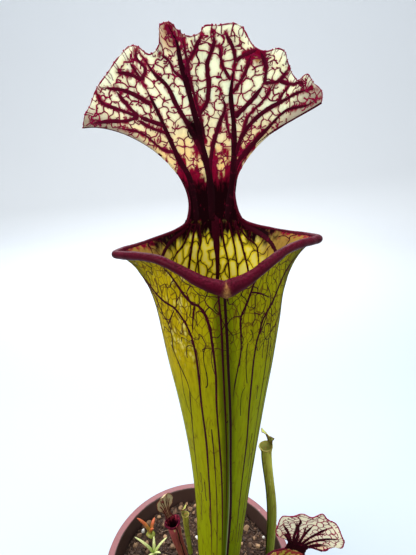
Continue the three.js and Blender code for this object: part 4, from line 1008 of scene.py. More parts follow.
def scatterOnSoil(random, count, lumps, sizes, lift, keepOff):
    # random places on the soil with a size each, none of them inside a stem
    x, y = onDisc(random, count, soil["grainsWithin"])
    size = random.uniform(*sizes, count)
    clear = np.ones(count, bool)
    for stemX, stemY, radius in keepOff:
        clear &= np.hypot(x - stemX, y - stemY) > radius + size
    x, y, size = x[clear], y[clear], size[clear]
    return np.stack([x, y, soilTop(x, y, lumps) + size * lift], -1), size


def makeGrains(materials, random, lumps, keepOff):
    for name, grain in grains.items():
        place, size = scatterOnSoil(random, grain["count"], lumps, grain["size"], grain["lift"], keepOff)
        points, faces = pebbles(random, place, size, grain)
        shade = np.repeat(random.uniform(0, 1, len(place)), len(points) // len(place))
        piece = meshPiece(name, points, faces, {"shade": shade}, grain["smooth"])
        finishPiece(piece, grain["slot"], materials[grain["finish"]], "soil")


def makeFibres(material, random, lumps, keepOff):
    # short bent threads that lie on the soil: each heading wanders from step to step
    steps, within = fibres["steps"], soil["lumpsWithin"]
    start, _ = scatterOnSoil(random, fibres["count"], lumps, fibres["clear"], 0, keepOff)
    count = len(start)
    first = random.uniform(0, 2 * np.pi, (count, 1))
    heading = first + np.cumsum(random.normal(0, fibres["bend"], (count, steps)), 1)
    stride = random.uniform(*fibres["stride"], (count, 1))
    x = start[:, :1] + np.cumsum(np.cos(heading) * stride, 1)
    y = start[:, 1:2] + np.cumsum(np.sin(heading) * stride, 1)
    inside = np.minimum(1, within / np.maximum(np.hypot(x, y), 1))
    x, y = x * inside, y * inside
    arch = fibres["arch"] * np.sin(np.pi * np.linspace(0, 1, steps))
    rise = fibres["lift"] + arch * random.uniform(0, 1, (count, 1))
    centre = np.stack([x, y, soilTop(x, y, lumps) + rise], -1)
    out = np.broadcast_to(np.array([0, 0, 1.0]), centre.shape)
    width = np.broadcast_to(random.uniform(*fibres["width"], (count, 1)), x.shape)
    points, faces = ribbonSolid(centre, out, width, width * fibres["flatness"], fibres["sides"])
    shade = np.repeat(random.uniform(0, 1, count), steps * fibres["sides"])
    finishPiece(meshPiece("peatFibres", points, faces, {"shade": shade}), "peat", material, "soil")


def makeRhizome(material, random):
    # a ringed, lumpy ellipsoid with short frayed stubs of old leaves on it
    rings, sides, length = rhizome["rings"], rhizome["sides"], rhizome["length"]
    polar, around = np.meshgrid(np.pi * np.arange(1, rings) / rings, circleAngles(sides), indexing="ij")
    u, v, w = np.cos(polar), np.sin(polar) * np.cos(around), np.sin(polar) * np.sin(around)
    scales = 0.025 * np.abs(np.sin(38 * u + 2 * np.sin(3 * around)))
    relief = 1 + 0.05 * np.sin(11 * u) * (1 - u * u) + scales + 0.012 * np.sin(23 * around + 9 * u)
    ball = np.stack([u * length, v * rhizome["width"] * relief, w * rhizome["height"] * relief], -1)
    points = np.concatenate([ball.reshape(-1, 3), [[length, 0, 0], [-length, 0, 0]]])
    parts = [(points, ringFaces(rings - 1, sides, flipped=True), 0.0)]
    steps, count = rhizome["stubSteps"], rhizome["stubSides"]
    share = np.linspace(0, 1, steps)
    for along, across, lean, rise in rhizome["oldBases"]:
        tall, tilt = rise + 0.6 * rhizome["height"], math.radians(lean)
        centre = np.stack([along + np.sin(tilt) * tall * share, np.full(steps, float(across)),
                           np.cos(tilt) * tall * share], -1)[None]
        out = np.broadcast_to(np.array([0, 1.0, 0]), centre.shape)
        radius = rhizome["stubRadius"] - rhizome["stubTaper"] * share
        width = (2 * radius * (1 + 0.05 * np.sin(40 * share)))[None]
        stub, faces = ribbonSolid(centre, out, width, width * rhizome["stubFlatness"], count)
        stub[-count:, 2] += random.uniform(*rhizome["fraying"], count)
        parts.append((stub, faces, 1.0))
    points, faces, tone = joined(parts)
    turn = rhizome["turn"]
    spin = np.array([[math.cos(turn), -math.sin(turn), 0], [math.sin(turn), math.cos(turn), 0], [0, 0, 1]])
    points = points @ spin.T + np.array(rhizome["place"])
    piece = meshPiece("rhizomeBody", points, faces, {"stub": tone})
    return finishPiece(piece, "rhizome", material, "rhizome")


# Finishes. Distances in the patterns are in millimetres, worked out from the piece's own Object coordinates.

def dimmed(colour, share):
    return tuple(share * value for value in colour)


class Finish:
    # a node material in the making; each helper adds a node or two and hands back the output

    def __init__(self, name):
        self.material = bpy.data.materials.new(name)
        self.material.use_nodes = True
        self.tree = self.material.node_tree
        self.shader = self.tree.nodes["Principled BSDF"]
        self.output = self.tree.nodes["Material Output"]

    def add(self, kind, **settings):
        node = self.tree.nodes.new(kind)
        for key, value in settings.items():
            setattr(node, key, value)
        return node

    def put(self, socket, value):
        if isinstance(value, bpy.types.NodeSocket):
            self.tree.links.new(value, socket)
        elif isinstance(value, tuple) and socket.type == "RGBA":
            socket.default_value = (*value, 1)
        else:
            socket.default_value = value

    def attribute(self, name):
        return self.add("ShaderNodeAttribute", attribute_name=name).outputs["Fac"]

    def objectPlace(self):
        return self.add("ShaderNodeTexCoord").outputs["Object"]

    def along(self, axis):
        # how far along an axis a point lies, in metres
        split = self.add("ShaderNodeSeparateXYZ")
        self.put(split.inputs[0], self.objectPlace())
        return split.outputs[axis]

    def pattern(self, kind, size, stretch, **settings):
        # a texture with features about size wide, and longer along an axis whose stretch is small
        mapping = self.add("ShaderNodeMapping")
        mapping.inputs["Scale"].default_value = [value * perMetre / size for value in stretch]
        self.put(mapping.inputs["Vector"], self.objectPlace())
        node = self.add(kind, **settings)
        self.put(node.inputs["Vector"], mapping.outputs["Vector"])
        node.inputs["Scale"].default_value = 1
        return node

    def noise(self, size, stretch=(1, 1, 1), detail=4, rough=0.55):
        node = self.pattern("ShaderNodeTexNoise", size, stretch)
        node.inputs["Detail"].default_value = detail
        node.inputs["Roughness"].default_value = rough
        return node.outputs["Fac"]

    def cells(self, size, stretch=(1, 1, 1), feature="F1"):
        return self.pattern("ShaderNodeTexVoronoi", size, stretch, feature=feature).outputs["Distance"]

    def fade(self, value, low, high, start=0.0, end=1.0):
        node = self.add("ShaderNodeMapRange", interpolation_type="SMOOTHSTEP")
        for key, number in (("Value", value), ("From Min", low), ("From Max", high), ("To Min", start),
                            ("To Max", end)):
            self.put(node.inputs[key], number)
        return node.outputs["Result"]

    def maths(self, operation, one, other=0.0):
        node = self.add("ShaderNodeMath", operation=operation)
        self.put(node.inputs[0], one)
        self.put(node.inputs[1], other)
        return node.outputs[0]


    def times(self, one, other):
        return self.maths("MULTIPLY", one, other)

    def mix(self, share, one, other):
        node = self.add("ShaderNodeMix", data_type="RGBA")
        for key, value in ((0, share), (6, one), (7, other)):
            self.put(node.inputs[key], value)
        return node.outputs[2]

    def bump(self, height, distance, before=None):
        node = self.add("ShaderNodeBump")
        node.inputs["Distance"].default_value = distance / perMetre
        node.inputs["Strength"].default_value = 1
        self.put(node.inputs["Height"], height)
        if before is not None:
            self.put(node.inputs["Normal"], before)
        return node.outputs["Normal"]

    def set(self, **sockets):
        for key, value in sockets.items():
            self.put(self.shader.inputs[key.replace("_", " ")], value)
        return self.material

    def thinLeaf(self, colour, share):
        # part of the light comes through: a translucent share beside the surface
        through = self.add("ShaderNodeBsdfTranslucent")
        self.put(through.inputs["Color"], colour)
        both = self.add("ShaderNodeMixShader")
        both.inputs[0].default_value = share
        self.tree.links.new(self.shader.outputs[0], both.inputs[1])
        self.tree.links.new(through.outputs[0], both.inputs[2])
        self.tree.links.new(both.outputs[0], self.output.inputs["Surface"])
        return self.material


smallLeafLook = {"glint": (0.70, 0.66, 0.24), "thread": (0.14, 0.06, 0.02)}
leafLooks = {
    "tallPitcherLeaf": {
        "gold": (0.52, 0.385, 0.004), "olive": (0.36, 0.34, 0.003), "green": (0.25, 0.33, 0.002),
        "glint": (0.85, 0.78, 0.25), "thread": (0.11, 0.045, 0.006), "inside": (1.0, 0.82, 0.03),
        "centre": (1.0, 0.93, 0.30), "lid": (0.93, 0.95, 0.74), "lidWarm": (0.96, 0.74, 0.32),
        "blush": (0.30, 0.004, 0.034), "neck": (0.012, 0.001, 0.003), "through": 0.42,
    },
    "sidePitcherLeaf": {
        **smallLeafLook, "gold": (0.42, 0.34, 0.04), "olive": (0.28, 0.28, 0.03), "green": (0.13, 0.22, 0.02),
        "inside": (0.66, 0.62, 0.12), "lid": (0.84, 0.80, 0.60), "lidWarm": (0.76, 0.52, 0.30),
        "blush": (0.36, 0.05, 0.05), "neck": (0.05, 0.006, 0.01), "through": 0.32,
    },
    "hoodedPitcherLeaf": {
        **smallLeafLook, "gold": (0.30, 0.06, 0.06), "olive": (0.26, 0.05, 0.05), "green": (0.22, 0.09, 0.04),
        "inside": (0.03, 0.002, 0.010), "lid": (0.58, 0.48, 0.27), "lidWarm": (0.46, 0.26, 0.15),
        "blush": (0.30, 0.03, 0.05), "neck": (0.07, 0.006, 0.014), "through": 0.25,
    },
    "slenderPitcherLeaf": {
        **smallLeafLook, "gold": (0.42, 0.42, 0.06), "olive": (0.28, 0.27, 0.03), "green": (0.16, 0.24, 0.03),
        "inside": (0.16, 0.16, 0.03), "lid": (0.46, 0.48, 0.12), "lidWarm": (0.44, 0.38, 0.09),
        "blush": (0.35, 0.16, 0.05), "neck": (0.20, 0.14, 0.03), "through": 0.22,
    },
}
# fold is the grey-brown painted shade on the lid's folded-back flanks
leafDetails = {"ear": (0.40, 0.24, 0.05), "burn": (0.50, 0.20, 0.03), "fold": (0.40, 0.31, 0.24),
               "meshFrom": 0.296, "meshTo": 0.328}


def leafFinish(name, look):
    f = Finish(name)
    streaks = f.noise(1.6, (1, 1, 0.10), 3)
    blotchy = f.noise(9, (1, 1, 0.5), 4)
    window, gold = f.attribute("window"), f.fade(f.attribute("gold"), 0, 1)
    # the tube's outside: gold above and green below, with dark streaks, and painted shade in dark green bands
    # beside the fin and down both outlines
    tube = f.mix(gold, look["olive"], look["gold"])
    tube = f.mix(f.attribute("green"), tube, look["green"])
    tube = f.mix(f.fade(streaks, 0.42, 0.72, 0, 0.5), tube, dimmed(look["olive"], 0.5))
    # painted shade: the wall is darkened to deep green where band is high
    tube = f.mix(f.times(f.attribute("band"), 0.8), tube, dimmed(look["green"], 0.26))
    # pale glints between the cells near the top, and fine brown threads all the way down
    glints = f.times(f.fade(f.cells(2.0, (1, 1, 0.45)), 0.10, 0.5, 0.7, 0), f.fade(gold, 0.45, 0.95))
    tube = f.mix(f.times(glints, f.fade(blotchy, 0.46, 0.60)), tube, look["glint"])
    threads = f.fade(f.cells(2.0, (1, 1, 0.13), "DISTANCE_TO_EDGE"), 0.02, 0.08, 1, 0)
    threads = f.times(threads, f.fade(f.noise(3, (1, 1, 0.25), 2), 0.48, 0.66, 0, 0.6))
    tube = f.mix(threads, tube, look["thread"])
    # a fine mesh so high up that only the tallest tube reaches it
    mesh = f.fade(f.cells(2.5, (1, 1, 0.62), "DISTANCE_TO_EDGE"), 0.015, 0.075, 0.8, 0)
    high = f.fade(f.along("Z"), leafDetails["meshFrom"], leafDetails["meshTo"])
    tube = f.mix(f.times(mesh, high), tube, look["thread"])
    # the tube's inside glows between the veins
    inside = f.mix(f.fade(window, 0.05, 0.5), dimmed(look["inside"], 0.4), look["inside"])
    inside = f.mix(f.fade(window, 0.5, 1.0, 0, 0.75), inside, look.get("centre", look["inside"]))
    inside = f.mix(f.attribute("ear"), inside, leafDetails["ear"])
    tube = f.mix(f.attribute("innerFace"), tube, inside)
    # the lid: cream, warmer low down and beside the veins, with scorched spots, and painted shade dulling the
    # flanks where they fold back
    warmth = f.times(f.attribute("warm"), f.fade(blotchy, 0.3, 0.65, 0.5, 1.0))
    lid = f.mix(warmth, look["lid"], look["lidWarm"])
    lid = f.mix(f.fade(window, 0.0, 1.0, 0.30, 0.0), lid, look["lidWarm"])
    lid = f.mix(f.attribute("burn"), lid, leafDetails["burn"])
    # painted shade: the folded-back flanks are dulled to grey-brown
    lid = f.mix(f.attribute("fold"), lid, leafDetails["fold"])
    body = f.mix(f.attribute("lidShare"), tube, lid)
    # a ragged blush, and over it the nearly black neck with crimson flecks
    ragged = f.maths("ADD", f.attribute("blush"), f.fade(f.noise(2.0, (1, 1, 0.6), 2), 0.3, 0.7, -0.25, 0.25))
    body = f.mix(f.fade(ragged, 0.35, 0.8), body, look["blush"])
    flecks = f.mix(f.fade(f.noise(1.5, (1, 1, 0.35), 2), 0.62, 0.72, 0, 0.35), look["neck"], look["blush"])
    dark = f.maths("ADD", f.attribute("neck"), f.fade(f.noise(1.7, (1, 1, 0.4), 2), 0.3, 0.7, -0.2, 0.2))
    body = f.mix(f.fade(dark, 0.12, 0.95), body, flecks)
    f.set(Base_Color=body, Roughness=f.fade(blotchy, 0.2, 0.8, 0.45, 0.6), Specular_IOR_Level=0.02,
          Normal=f.bump(f.noise(0.35, detail=2), 0.05, f.bump(streaks, 0.12)))
    return f.thinLeaf(body, look["through"])


# where a vein has an old colour, it comes in down the leaf, between these two heights in metres
veinLooks = {
    "darkVein": {"dark": (0.012, 0.001, 0.003), "bright": (0.27, 0.006, 0.045)},
    "tubeVein": {"dark": (0.012, 0.001, 0.003), "bright": (0.27, 0.006, 0.045),
                 "old": (0.085, 0.035, 0.006), "oldBetween": (0.15, 0.27)},
    "brownVein": {"dark": (0.07, 0.022, 0.012), "bright": (0.20, 0.06, 0.03)},
}


def veinFinish(name, look):
    f = Finish(name)
    patches = f.noise(2.2, detail=3)
    colour = f.mix(f.attribute("veinTone"), look["dark"], look["bright"])
    colour = f.mix(f.fade(patches, 0.55, 0.8, 0, 0.2), colour, look["bright"])
    if "old" in look:
        colour = f.mix(f.fade(f.along("Z"), *look["oldBetween"], 0.75, 0), colour, look["old"])
    return f.set(Base_Color=colour, Roughness=f.fade(patches, 0.3, 0.8, 0.5, 0.62),
                 Normal=f.bump(f.noise(0.4, detail=2), 0.04), Specular_IOR_Level=0.02)


# highlight is the lighter colour of a painted highlight laid on each lip's upper side
lipLooks = {
    "waxyPlumLip": {"plum": (0.050, 0.0008, 0.007), "pink": (0.15, 0.010, 0.032), "tan": (0.34, 0.17, 0.05)},
    "paleGreenLip": {"plum": (0.30, 0.24, 0.05), "pink": (0.45, 0.42, 0.12), "tan": (0.40, 0.30, 0.10)},
}


def lipFinish(name, look):
    # blotched plum, with a lighter painted highlight on its upper side, and a tan seam at the spout
    f = Finish(name)
    patches = f.noise(6, detail=4)
    fine = f.noise(0.9, detail=4, rough=0.7)
    colour = f.mix(f.fade(patches, 0.3, 0.75), look["plum"], dimmed(look["plum"], 0.5))
    # painted highlight: the upward-facing side of the roll is made lighter, broken up by fine noise
    dustAndHighlight = f.times(f.attribute("upward"), f.fade(fine, 0.35, 0.7, 0.0, 0.6))
    colour = f.mix(dustAndHighlight, colour, look["pink"])
    seam = f.times(f.attribute("spout"), f.fade(fine, 0.35, 0.6, 0.25, 0.8))
    colour = f.mix(seam, colour, look["tan"])
    return f.set(Base_Color=colour, Roughness=f.fade(patches, 0.3, 0.7, 0.36, 0.5), Coat_Weight=0.01,
                 Coat_Roughness=0.3, Specular_IOR_Level=0.03,
                 Normal=f.bump(fine, 0.10, f.bump(patches, 0.25)))


# flank and bead are the fin's own colours; pale is a painted highlight on its lit left face
wingLooks = {
    "wingEdge": {"flank": (0.05, 0.085, 0.003), "bead": (0.013, 0.001, 0.003), "pale": (0.20, 0.21, 0.13)},
}


def wingFinish(name, look):
    f = Finish(name)
    fine = f.noise(1.2, (1, 1, 0.2), 3)
    colour = f.mix(f.attribute("bead"), look["flank"], look["bead"])
    # painted highlight: a pale strip on the lit left face of the fin
    pale = f.times(f.attribute("litLeftFlank"), f.fade(fine, 0.3, 0.6, 0.5, 0.9))
    return f.set(Base_Color=f.mix(pale, colour, look["pale"]), Roughness=0.65, Normal=f.bump(fine, 0.1),
                 Specular_IOR_Level=0.03)


bladeLooks = {
    "swordGreen": {"low": (0.10, 0.17, 0.015), "high": (0.24, 0.30, 0.03)},
    "seedlingGreen": {"low": (0.22, 0.32, 0.03), "high": (0.62, 0.66, 0.28)},
    "seedlingRed": {"low": (0.26, 0.30, 0.04), "high": (0.60, 0.11, 0.04)},
}


def bladeFinish(name, look):
    # the colour runs from foot to tip, with fine lengthwise ribs
    f = Finish(name)
    ribs = f.noise(0.9, (1, 1, 0.05), 3)
    patches = f.noise(7, detail=3)
    colour = f.mix(f.fade(f.attribute("tipShare"), 0.15, 0.85), look["low"], look["high"])
    colour = f.mix(f.fade(ribs, 0.4, 0.7, 0, 0.4), colour, dimmed(look["low"], 0.55))
    colour = f.mix(f.fade(patches, 0.5, 0.8, 0, 0.35), colour, look["high"])
    f.set(Base_Color=colour, Roughness=f.fade(patches, 0.3, 0.8, 0.38, 0.55), Normal=f.bump(ribs, 0.15))
    return f.thinLeaf(colour, 0.15)


grainLooks = {
    "peatCrumb": {"dark": (0.020, 0.009, 0.005), "light": (0.11, 0.054, 0.028), "pits": 0.3},
    "tanChip": {"dark": (0.07, 0.032, 0.017), "light": (0.38, 0.23, 0.12), "pits": 0.3},
    "palePerlite": {"dark": (0.50, 0.48, 0.44), "light": (0.72, 0.70, 0.66), "pits": 0.5},
    "peatFibre": {"dark": (0.05, 0.025, 0.015), "light": (0.20, 0.12, 0.07), "pits": 0.3},
}


def grainFinish(name, look):
    # each grain has a shade of its own, with pits
    f = Finish(name)
    pits = f.noise(0.6, detail=5, rough=0.75)
    colour = f.mix(f.attribute("shade"), look["dark"], look["light"])
    colour = f.mix(f.fade(pits, 0.5, 0.75, 0, 0.6), colour, dimmed(look["dark"], 0.45))
    return f.set(Base_Color=colour, Roughness=f.fade(pits, 0.3, 0.7, 0.7, 0.92),
                 Normal=f.bump(pits, look["pits"]))


# innerShade is the nearly black painted shade on the inside of the wall
potLook = {"dull": (0.155, 0.044, 0.047), "dusty": (0.21, 0.068, 0.073), "scuff": (0.42, 0.23, 0.22),
           "speck": (0.17, 0.09, 0.07), "innerShade": (0.030, 0.017, 0.012)}


def potFinish():
    f = Finish("dustyTerracottaPlastic")
    dustAndHighlight = f.noise(11, detail=6, rough=0.7)
    speck = f.noise(0.7, detail=3, rough=0.7)
    scuff = f.noise(5, (1, 1, 0.16), 5, 0.7)
    colour = f.mix(f.fade(dustAndHighlight, 0.35, 0.72), potLook["dull"], potLook["dusty"])
    colour = f.mix(f.fade(scuff, 0.58, 0.70, 0, 0.4), colour, potLook["scuff"])
    colour = f.mix(f.fade(speck, 0.66, 0.74, 0, 0.6), colour, potLook["speck"])
    # painted shade: the inside of the wall is made nearly black, as it lies in shadow under the rim; the mask
    # is the distance from the axis less the inner radius here
    flat = f.add("ShaderNodeVectorMath", operation="MULTIPLY")
    f.put(flat.inputs[0], f.objectPlace())
    flat.inputs[1].default_value = (1, 1, 0)
    around = f.add("ShaderNodeVectorMath", operation="LENGTH")
    f.put(around.inputs[0], flat.outputs["Vector"])
    slope = (potInnerRadius(pot["height"]) - potInnerRadius(0)) / pot["height"]
    outside = f.maths("SUBTRACT", around.outputs["Value"], f.times(f.along("Z"), slope))
    outside = f.maths("ADD", outside, f.fade(dustAndHighlight, 0.3, 0.7, -0.0003, 0.0003))
    edge = potInnerRadius(0) / perMetre
    innerShade = f.fade(outside, edge + 0.0004, edge + 0.0009, 0.93, 0)
    colour = f.mix(f.times(innerShade, f.fade(f.along("Z"), 0.0012, 0.0020)), colour, potLook["innerShade"])
    return f.set(Base_Color=colour, Roughness=f.fade(dustAndHighlight, 0.3, 0.7, 0.42, 0.62), Specular_IOR_Level=0.35,
                 Normal=f.bump(f.noise(0.25, detail=2), 0.05, f.bump(scuff, 0.10)))


peatLook = {"dark": (0.016, 0.007, 0.004), "brown": (0.062, 0.029, 0.016), "tan": (0.24, 0.14, 0.07)}


def peatFinish():
    f = Finish("darkPeat")
    clods = f.noise(3.2, detail=8, rough=0.75)
    bits = f.noise(1.0, detail=4, rough=0.8)
    colour = f.mix(f.fade(clods, 0.35, 0.7), peatLook["dark"], peatLook["brown"])
    colour = f.mix(f.fade(bits, 0.62, 0.70, 0, 0.7), colour, peatLook["tan"])
    normal = f.bump(bits, 0.5, f.bump(f.cells(1.3), 0.8, f.bump(clods, 1.2)))
    return f.set(Base_Color=colour, Roughness=f.fade(clods, 0.3, 0.7, 0.78, 0.95), Normal=normal,
                 Specular_IOR_Level=0.25)


rhizomeLook = {"dark": (0.045, 0.020, 0.012), "brown": (0.13, 0.065, 0.038), "fibre": (0.22, 0.14, 0.08),
               "stub": (0.30, 0.19, 0.10)}


def rhizomeFinish():
    f = Finish("scalyRhizome")
    fine = f.noise(1.0, (0.2, 1, 1), 6, 0.7)
    patches = f.noise(6, detail=4)
    colour = f.mix(f.fade(patches, 0.3, 0.7), rhizomeLook["dark"], rhizomeLook["brown"])
    colour = f.mix(f.fade(fine, 0.5, 0.7, 0, 0.6), colour, rhizomeLook["fibre"])
    colour = f.mix(f.times(f.attribute("stub"), 0.6), colour, rhizomeLook["stub"])
    return f.set(Base_Color=colour, Roughness=f.fade(fine, 0.3, 0.7, 0.6, 0.85),
                 Normal=f.bump(fine, 0.4, f.bump(patches, 0.6)))


def floorFinish():
    # a little darker round the object than on the backdrop, so that both look evenly pale
    f = Finish("paleFloor")
    behind = f.fade(f.along("Y"), backdrop["colourFrom"], backdrop["colourTo"])
    return f.set(Base_Color=f.mix(behind, backdrop["nearColour"], backdrop["farColour"]), Roughness=0.85)


def plantFinishes():
    made = {}
    for finish, looks in ((leafFinish, leafLooks), (veinFinish, veinLooks), (lipFinish, lipLooks),
                          (wingFinish, wingLooks), (bladeFinish, bladeLooks), (grainFinish, grainLooks)):
        made.update({name: finish(name, look) for name, look in looks.items()})
    return made


# The plant. A route is a vein's (width at its start, width at its end, points of its middle line).

# a vein is this many times its core, and this much more: at its start, then at its end
veinGrowth = {"lid": (1.3, 0.75, 1.3, 0.75), "tube": (1.2, 0.65, 0.9, 0.35)}
# the line along a lid's outline, its two flanks and its teeth; tones run from 0, dark, to 1, bright
margins = {
    "width": (0.8, 0.3), "points": 320, "edge": 0.998, "least": 0.12, "sides": 8, "relief": 0.05, "tone": 0.7,
    "flankEdge": 0.999, "flankFrom": 0.36, "flankSteps": 80, "flankWidth": 1.3, "flankRelief": 0.12,
    "flankTone": 0.15, "teeth": 0.9, "toothSpan": 0.985, "toothShift": 0.02, "toothFoot": (0.945, 0.985),
    "toothSlant": 0.004, "toothReach": 0.45, "toothWidth": (0.5, 1.1), "toothRelief": 0.06, "toothSteps": 5,
    "toothBow": 0.12, "toothTone": 0.75,
}
# how bright the veins of a lid are: dark up to this share of its length, the thick ones darker than the net
lidTones = {"darkTo": 0.27, "before": 6, "after": 4, "thick": 0.04, "thin": 0.42, "net": (0.45, 1.0)}
# what only the tall pitcher's net has; spurs branch off its threads and end in the open
tallNet = {
    "spurs": 650, "spurLength": (0.8, 2.4), "spurBow": 0.2, "lidFrom": 21, "tubeFrom": 30,
    "join": 222, "upper": 0.68, "lower": 0.2,
}
# crimson blotches on the tall lid: across, up, radius, strength
blotches = [
    (15.3, 69.4, 3.6, 0.75), (-19.0, 80, 4.0, 0.5), (-8.5, 50, 3.0, 0.6), (-8, 31, 2.6, 0.85),
    (13, 30, 2.8, 0.85), (4, 31, 2.6, 0.8), (-12, 66, 2.0, 0.4), (-14, 27, 2.4, 0.7), (20, 38, 2.2, 0.5),
    (1, 27, 2.2, 0.7), (-3, 35, 1.6, 0.6), (17, 33, 2.0, 0.6), (-18, 41, 2.0, 0.45), (3, 39, 1.6, 0.45),
]
# its stain beside the middle, (across, up), how far the veins are dark round it, and its scorched heart
stain, stainReach, heart = (-8.4, 39.6), 5.0, (15.3, 69.4)
# painted shade: dark bands down both outlines of the tall tube, where the wall turns away: heights, the
# middle of each in degrees there, half width
outlineShade = {"heights": [40, 100, 180, 240], "left": [-104, -101, -95, -91], "leftHalf": 13,
         "right": [75, 76, 78, 84], "rightHalf": 14}


def toMap(routes, stretch=lambda w: w):
    # (degrees, height) routes on the tube's flat map, brought within half a turn of the front
    made = []
    for first, last, route in routes:
        degrees, height = np.array(route, float).T
        degrees = degrees - 360 if degrees.mean() > 181 else degrees
        across = np.radians(degrees) * netting["mapRadius"]
        made.append((first, last, np.stack([across, stretch(height)], -1)))
    return made


def widened(routes, part):
    times, more, lastTimes, lastMore = veinGrowth[part]
    return [(first * times + more, last * lastTimes + lastMore, route) for first, last, route in routes]


def sampled(routes, count=60):
    return np.concatenate([evenly(route, count) for _, _, route in routes])


def roundToFlat(angle):
    # an angle round the tube as a distance on its flat map, within half a turn of the front
    radius = netting["mapRadius"]
    return (angle + np.pi) % (2 * np.pi) * radius - np.pi * radius


def onTube(form):
    return lambda flat: form.wallFrame(flat[..., 0] / netting["mapRadius"], flat[..., 1])


def onLid(form):
    return lambda flat: form.lidFrame(flat[..., 0], flat[..., 1])


def netRibbons(frameAt, lines, random, widths, relief):
    # each wall of a cell as a fine raised thread, a fifth thinner at its middle
    point, out, half = frameAt(lines)
    waist = 1 - 0.2 * np.sin(np.linspace(0, np.pi, lines.shape[1]))
    return ribbonSolid(point, out, random.uniform(*widths, (len(lines), 1)) * waist, half + relief, 6)


def spurLines(random, lines, count, length):
    # short threads that branch off random points of the given lines and end in the open
    line, step = random.integers(0, len(lines), count), random.integers(1, lines.shape[1] - 1, count)
    start = lines[line, step]
    turn = random.uniform(0, 2 * np.pi, count)
    reach = random.uniform(*length, (count, 1))
    return np.stack([start, start + reach * np.stack([np.cos(turn), np.sin(turn)], -1)], 1)


def insideLid(form, lines):
    # which of the lines lie wholly on the lid, just clear of its flanks and its margin
    a, t = form.lidPlace(lines[..., 0], lines[..., 1])
    miss = np.linalg.norm(form.lidSheet(a, t) - lines, axis=-1)
    return ((miss < 0.3) & (np.abs(a) < 0.995) & (t < 0.985)).all(1)


def marginRibbons(form, widths, random):
    # a crimson line along the lid's outline, its width wavering with three sines, a darker one down both
    # its flanks, and small teeth across it
    frameAt, count, sides = onLid(form), margins["points"], margins["sides"]
    first, last = widths
    around = np.linspace(margins["edge"], -margins["edge"], count)
    wobble = 0.5 + 0.3 * np.sin(61 * around) + 0.25 * np.sin(97 * around + 1) + 0.2 * np.sin(173 * around)
    width = (last + (first - last) * wobble)[None].clip(margins["least"])
    point, out, half = frameAt(form.lidSheet(around, margins["edge"])[None])
    parts = [(*ribbonSolid(point, out, width, half + margins["relief"], sides), margins["tone"])]
    up = np.linspace(margins["flankFrom"], margins["edge"], margins["flankSteps"])
    for side in (margins["flankEdge"], -margins["flankEdge"]):
        point, out, half = frameAt(form.lidSheet(side, up)[None])
        width = np.full((1, len(up)), margins["flankWidth"] * first)
        flank = ribbonSolid(point, out, width, half + margins["flankRelief"], sides)
        parts.append((*flank, margins["flankTone"]))
    count = round(margins["teeth"] * form.leaf["lidLength"])
    span, shift = margins["toothSpan"], margins["toothShift"]
    teeth = np.linspace(span, -span, count) + random.uniform(-shift, shift, count)
    feet = form.lidSheet(teeth, random.uniform(*margins["toothFoot"], count))
    tips = form.lidSheet(teeth + random.normal(0, margins["toothSlant"], count), 1.0)
    lines = np.stack([feet, tips], 1)
    lines[:, 1] += unit(lines[:, 1] - lines[:, 0]) * random.uniform(0.1, margins["toothReach"], (count, 1))
    lines = bowedWalls(random, lines, margins["toothSteps"], margins["toothBow"])
    widths = [share * first for share in margins["toothWidth"]]
    teeth = netRibbons(frameAt, lines, random, widths, margins["toothRelief"])
    return parts + [(*teeth, margins["toothTone"])]


def veinPiece(name, form, parts, material):
    points, faces, tone = joined(parts)
    piece = meshPiece(name, form.place(points), faces, {"veinTone": tone})
    return finishPiece(piece, "pitcher_vein", material)


def lidVeinPiece(name, form, routes, net, random, material, edge, netWidth, stained=()):
    # main veins, net and margin of a lid; stained lists (across, up, radius) where the veins are as dark
    # as in the neck
    frameAt = onLid(form)
    darkTo = form.mouth + form.leaf["neckZ"] + lidTones["darkTo"] * form.leaf["lidLength"]

    def paleness(points):
        pale = smoothStep(points[:, 2], darkTo - lidTones["before"], darkTo + lidTones["after"])
        for x, s, reach in stained:
            middle = frameAt(np.array([[x, s]], float))[0][0]
            pale = pale * (1 - np.exp(-(np.linalg.norm(points - middle, axis=1) / reach) ** 4))
        return pale

    points, faces = thickenRoutes(frameAt, routes, 0.28, 60)
    widths = np.repeat(np.array([route[0] for route in routes]), len(points) // len(routes))
    tone = lidTones["thick"] + lidTones["thin"] * (1 - widths / widths.max())
    parts = [(points, faces, tone * paleness(points))]
    if net is not None:
        points, faces = netRibbons(frameAt, net, random, netWidth, 0.12)
        shade = np.repeat(random.uniform(*lidTones["net"], len(net)), len(points) // len(net))
        parts.append((points, faces, shade * paleness(points)))
    parts += marginRibbons(form, edge, random)
    return veinPiece(name, form, parts, material)


def lidThreads(form, routes, random, setting):
    # the walls of the net's cells with some left out, each a gentle bow
    walls = lidNet(form, [route for _, _, route in routes], random, setting)
    walls = walls[random.uniform(0, 1, len(walls)) > setting["dropped"]]
    return bowedWalls(random, walls, setting["steps"], setting["bow"])


def tallLidThreads(form, random):
    threads = lidThreads(form, lidVeins, random, netting)
    spurs = spurLines(random, threads, tallNet["spurs"], tallNet["spurLength"])
    threads = np.concatenate([threads, bowedWalls(random, spurs, netting["steps"], tallNet["spurBow"])])
    return threads[insideLid(form, threads) & (threads[..., 1].min(1) > tallNet["lidFrom"])]


def squeezed(height):
    # heights on the tube's map are squeezed, so that cells come out long: a little above, much below
    join, upper, lower = tallNet["join"], tallNet["upper"], tallNet["lower"]
    return np.where(height < join, join * upper - (join - height) * lower, height * upper)


def loosened(place):
    # from a squeezed place on the map back to its height
    join, upper, lower = tallNet["join"], tallNet["upper"], tallNet["lower"]
    return np.where(place < join * upper, join - (join * upper - place) / lower, place / upper)


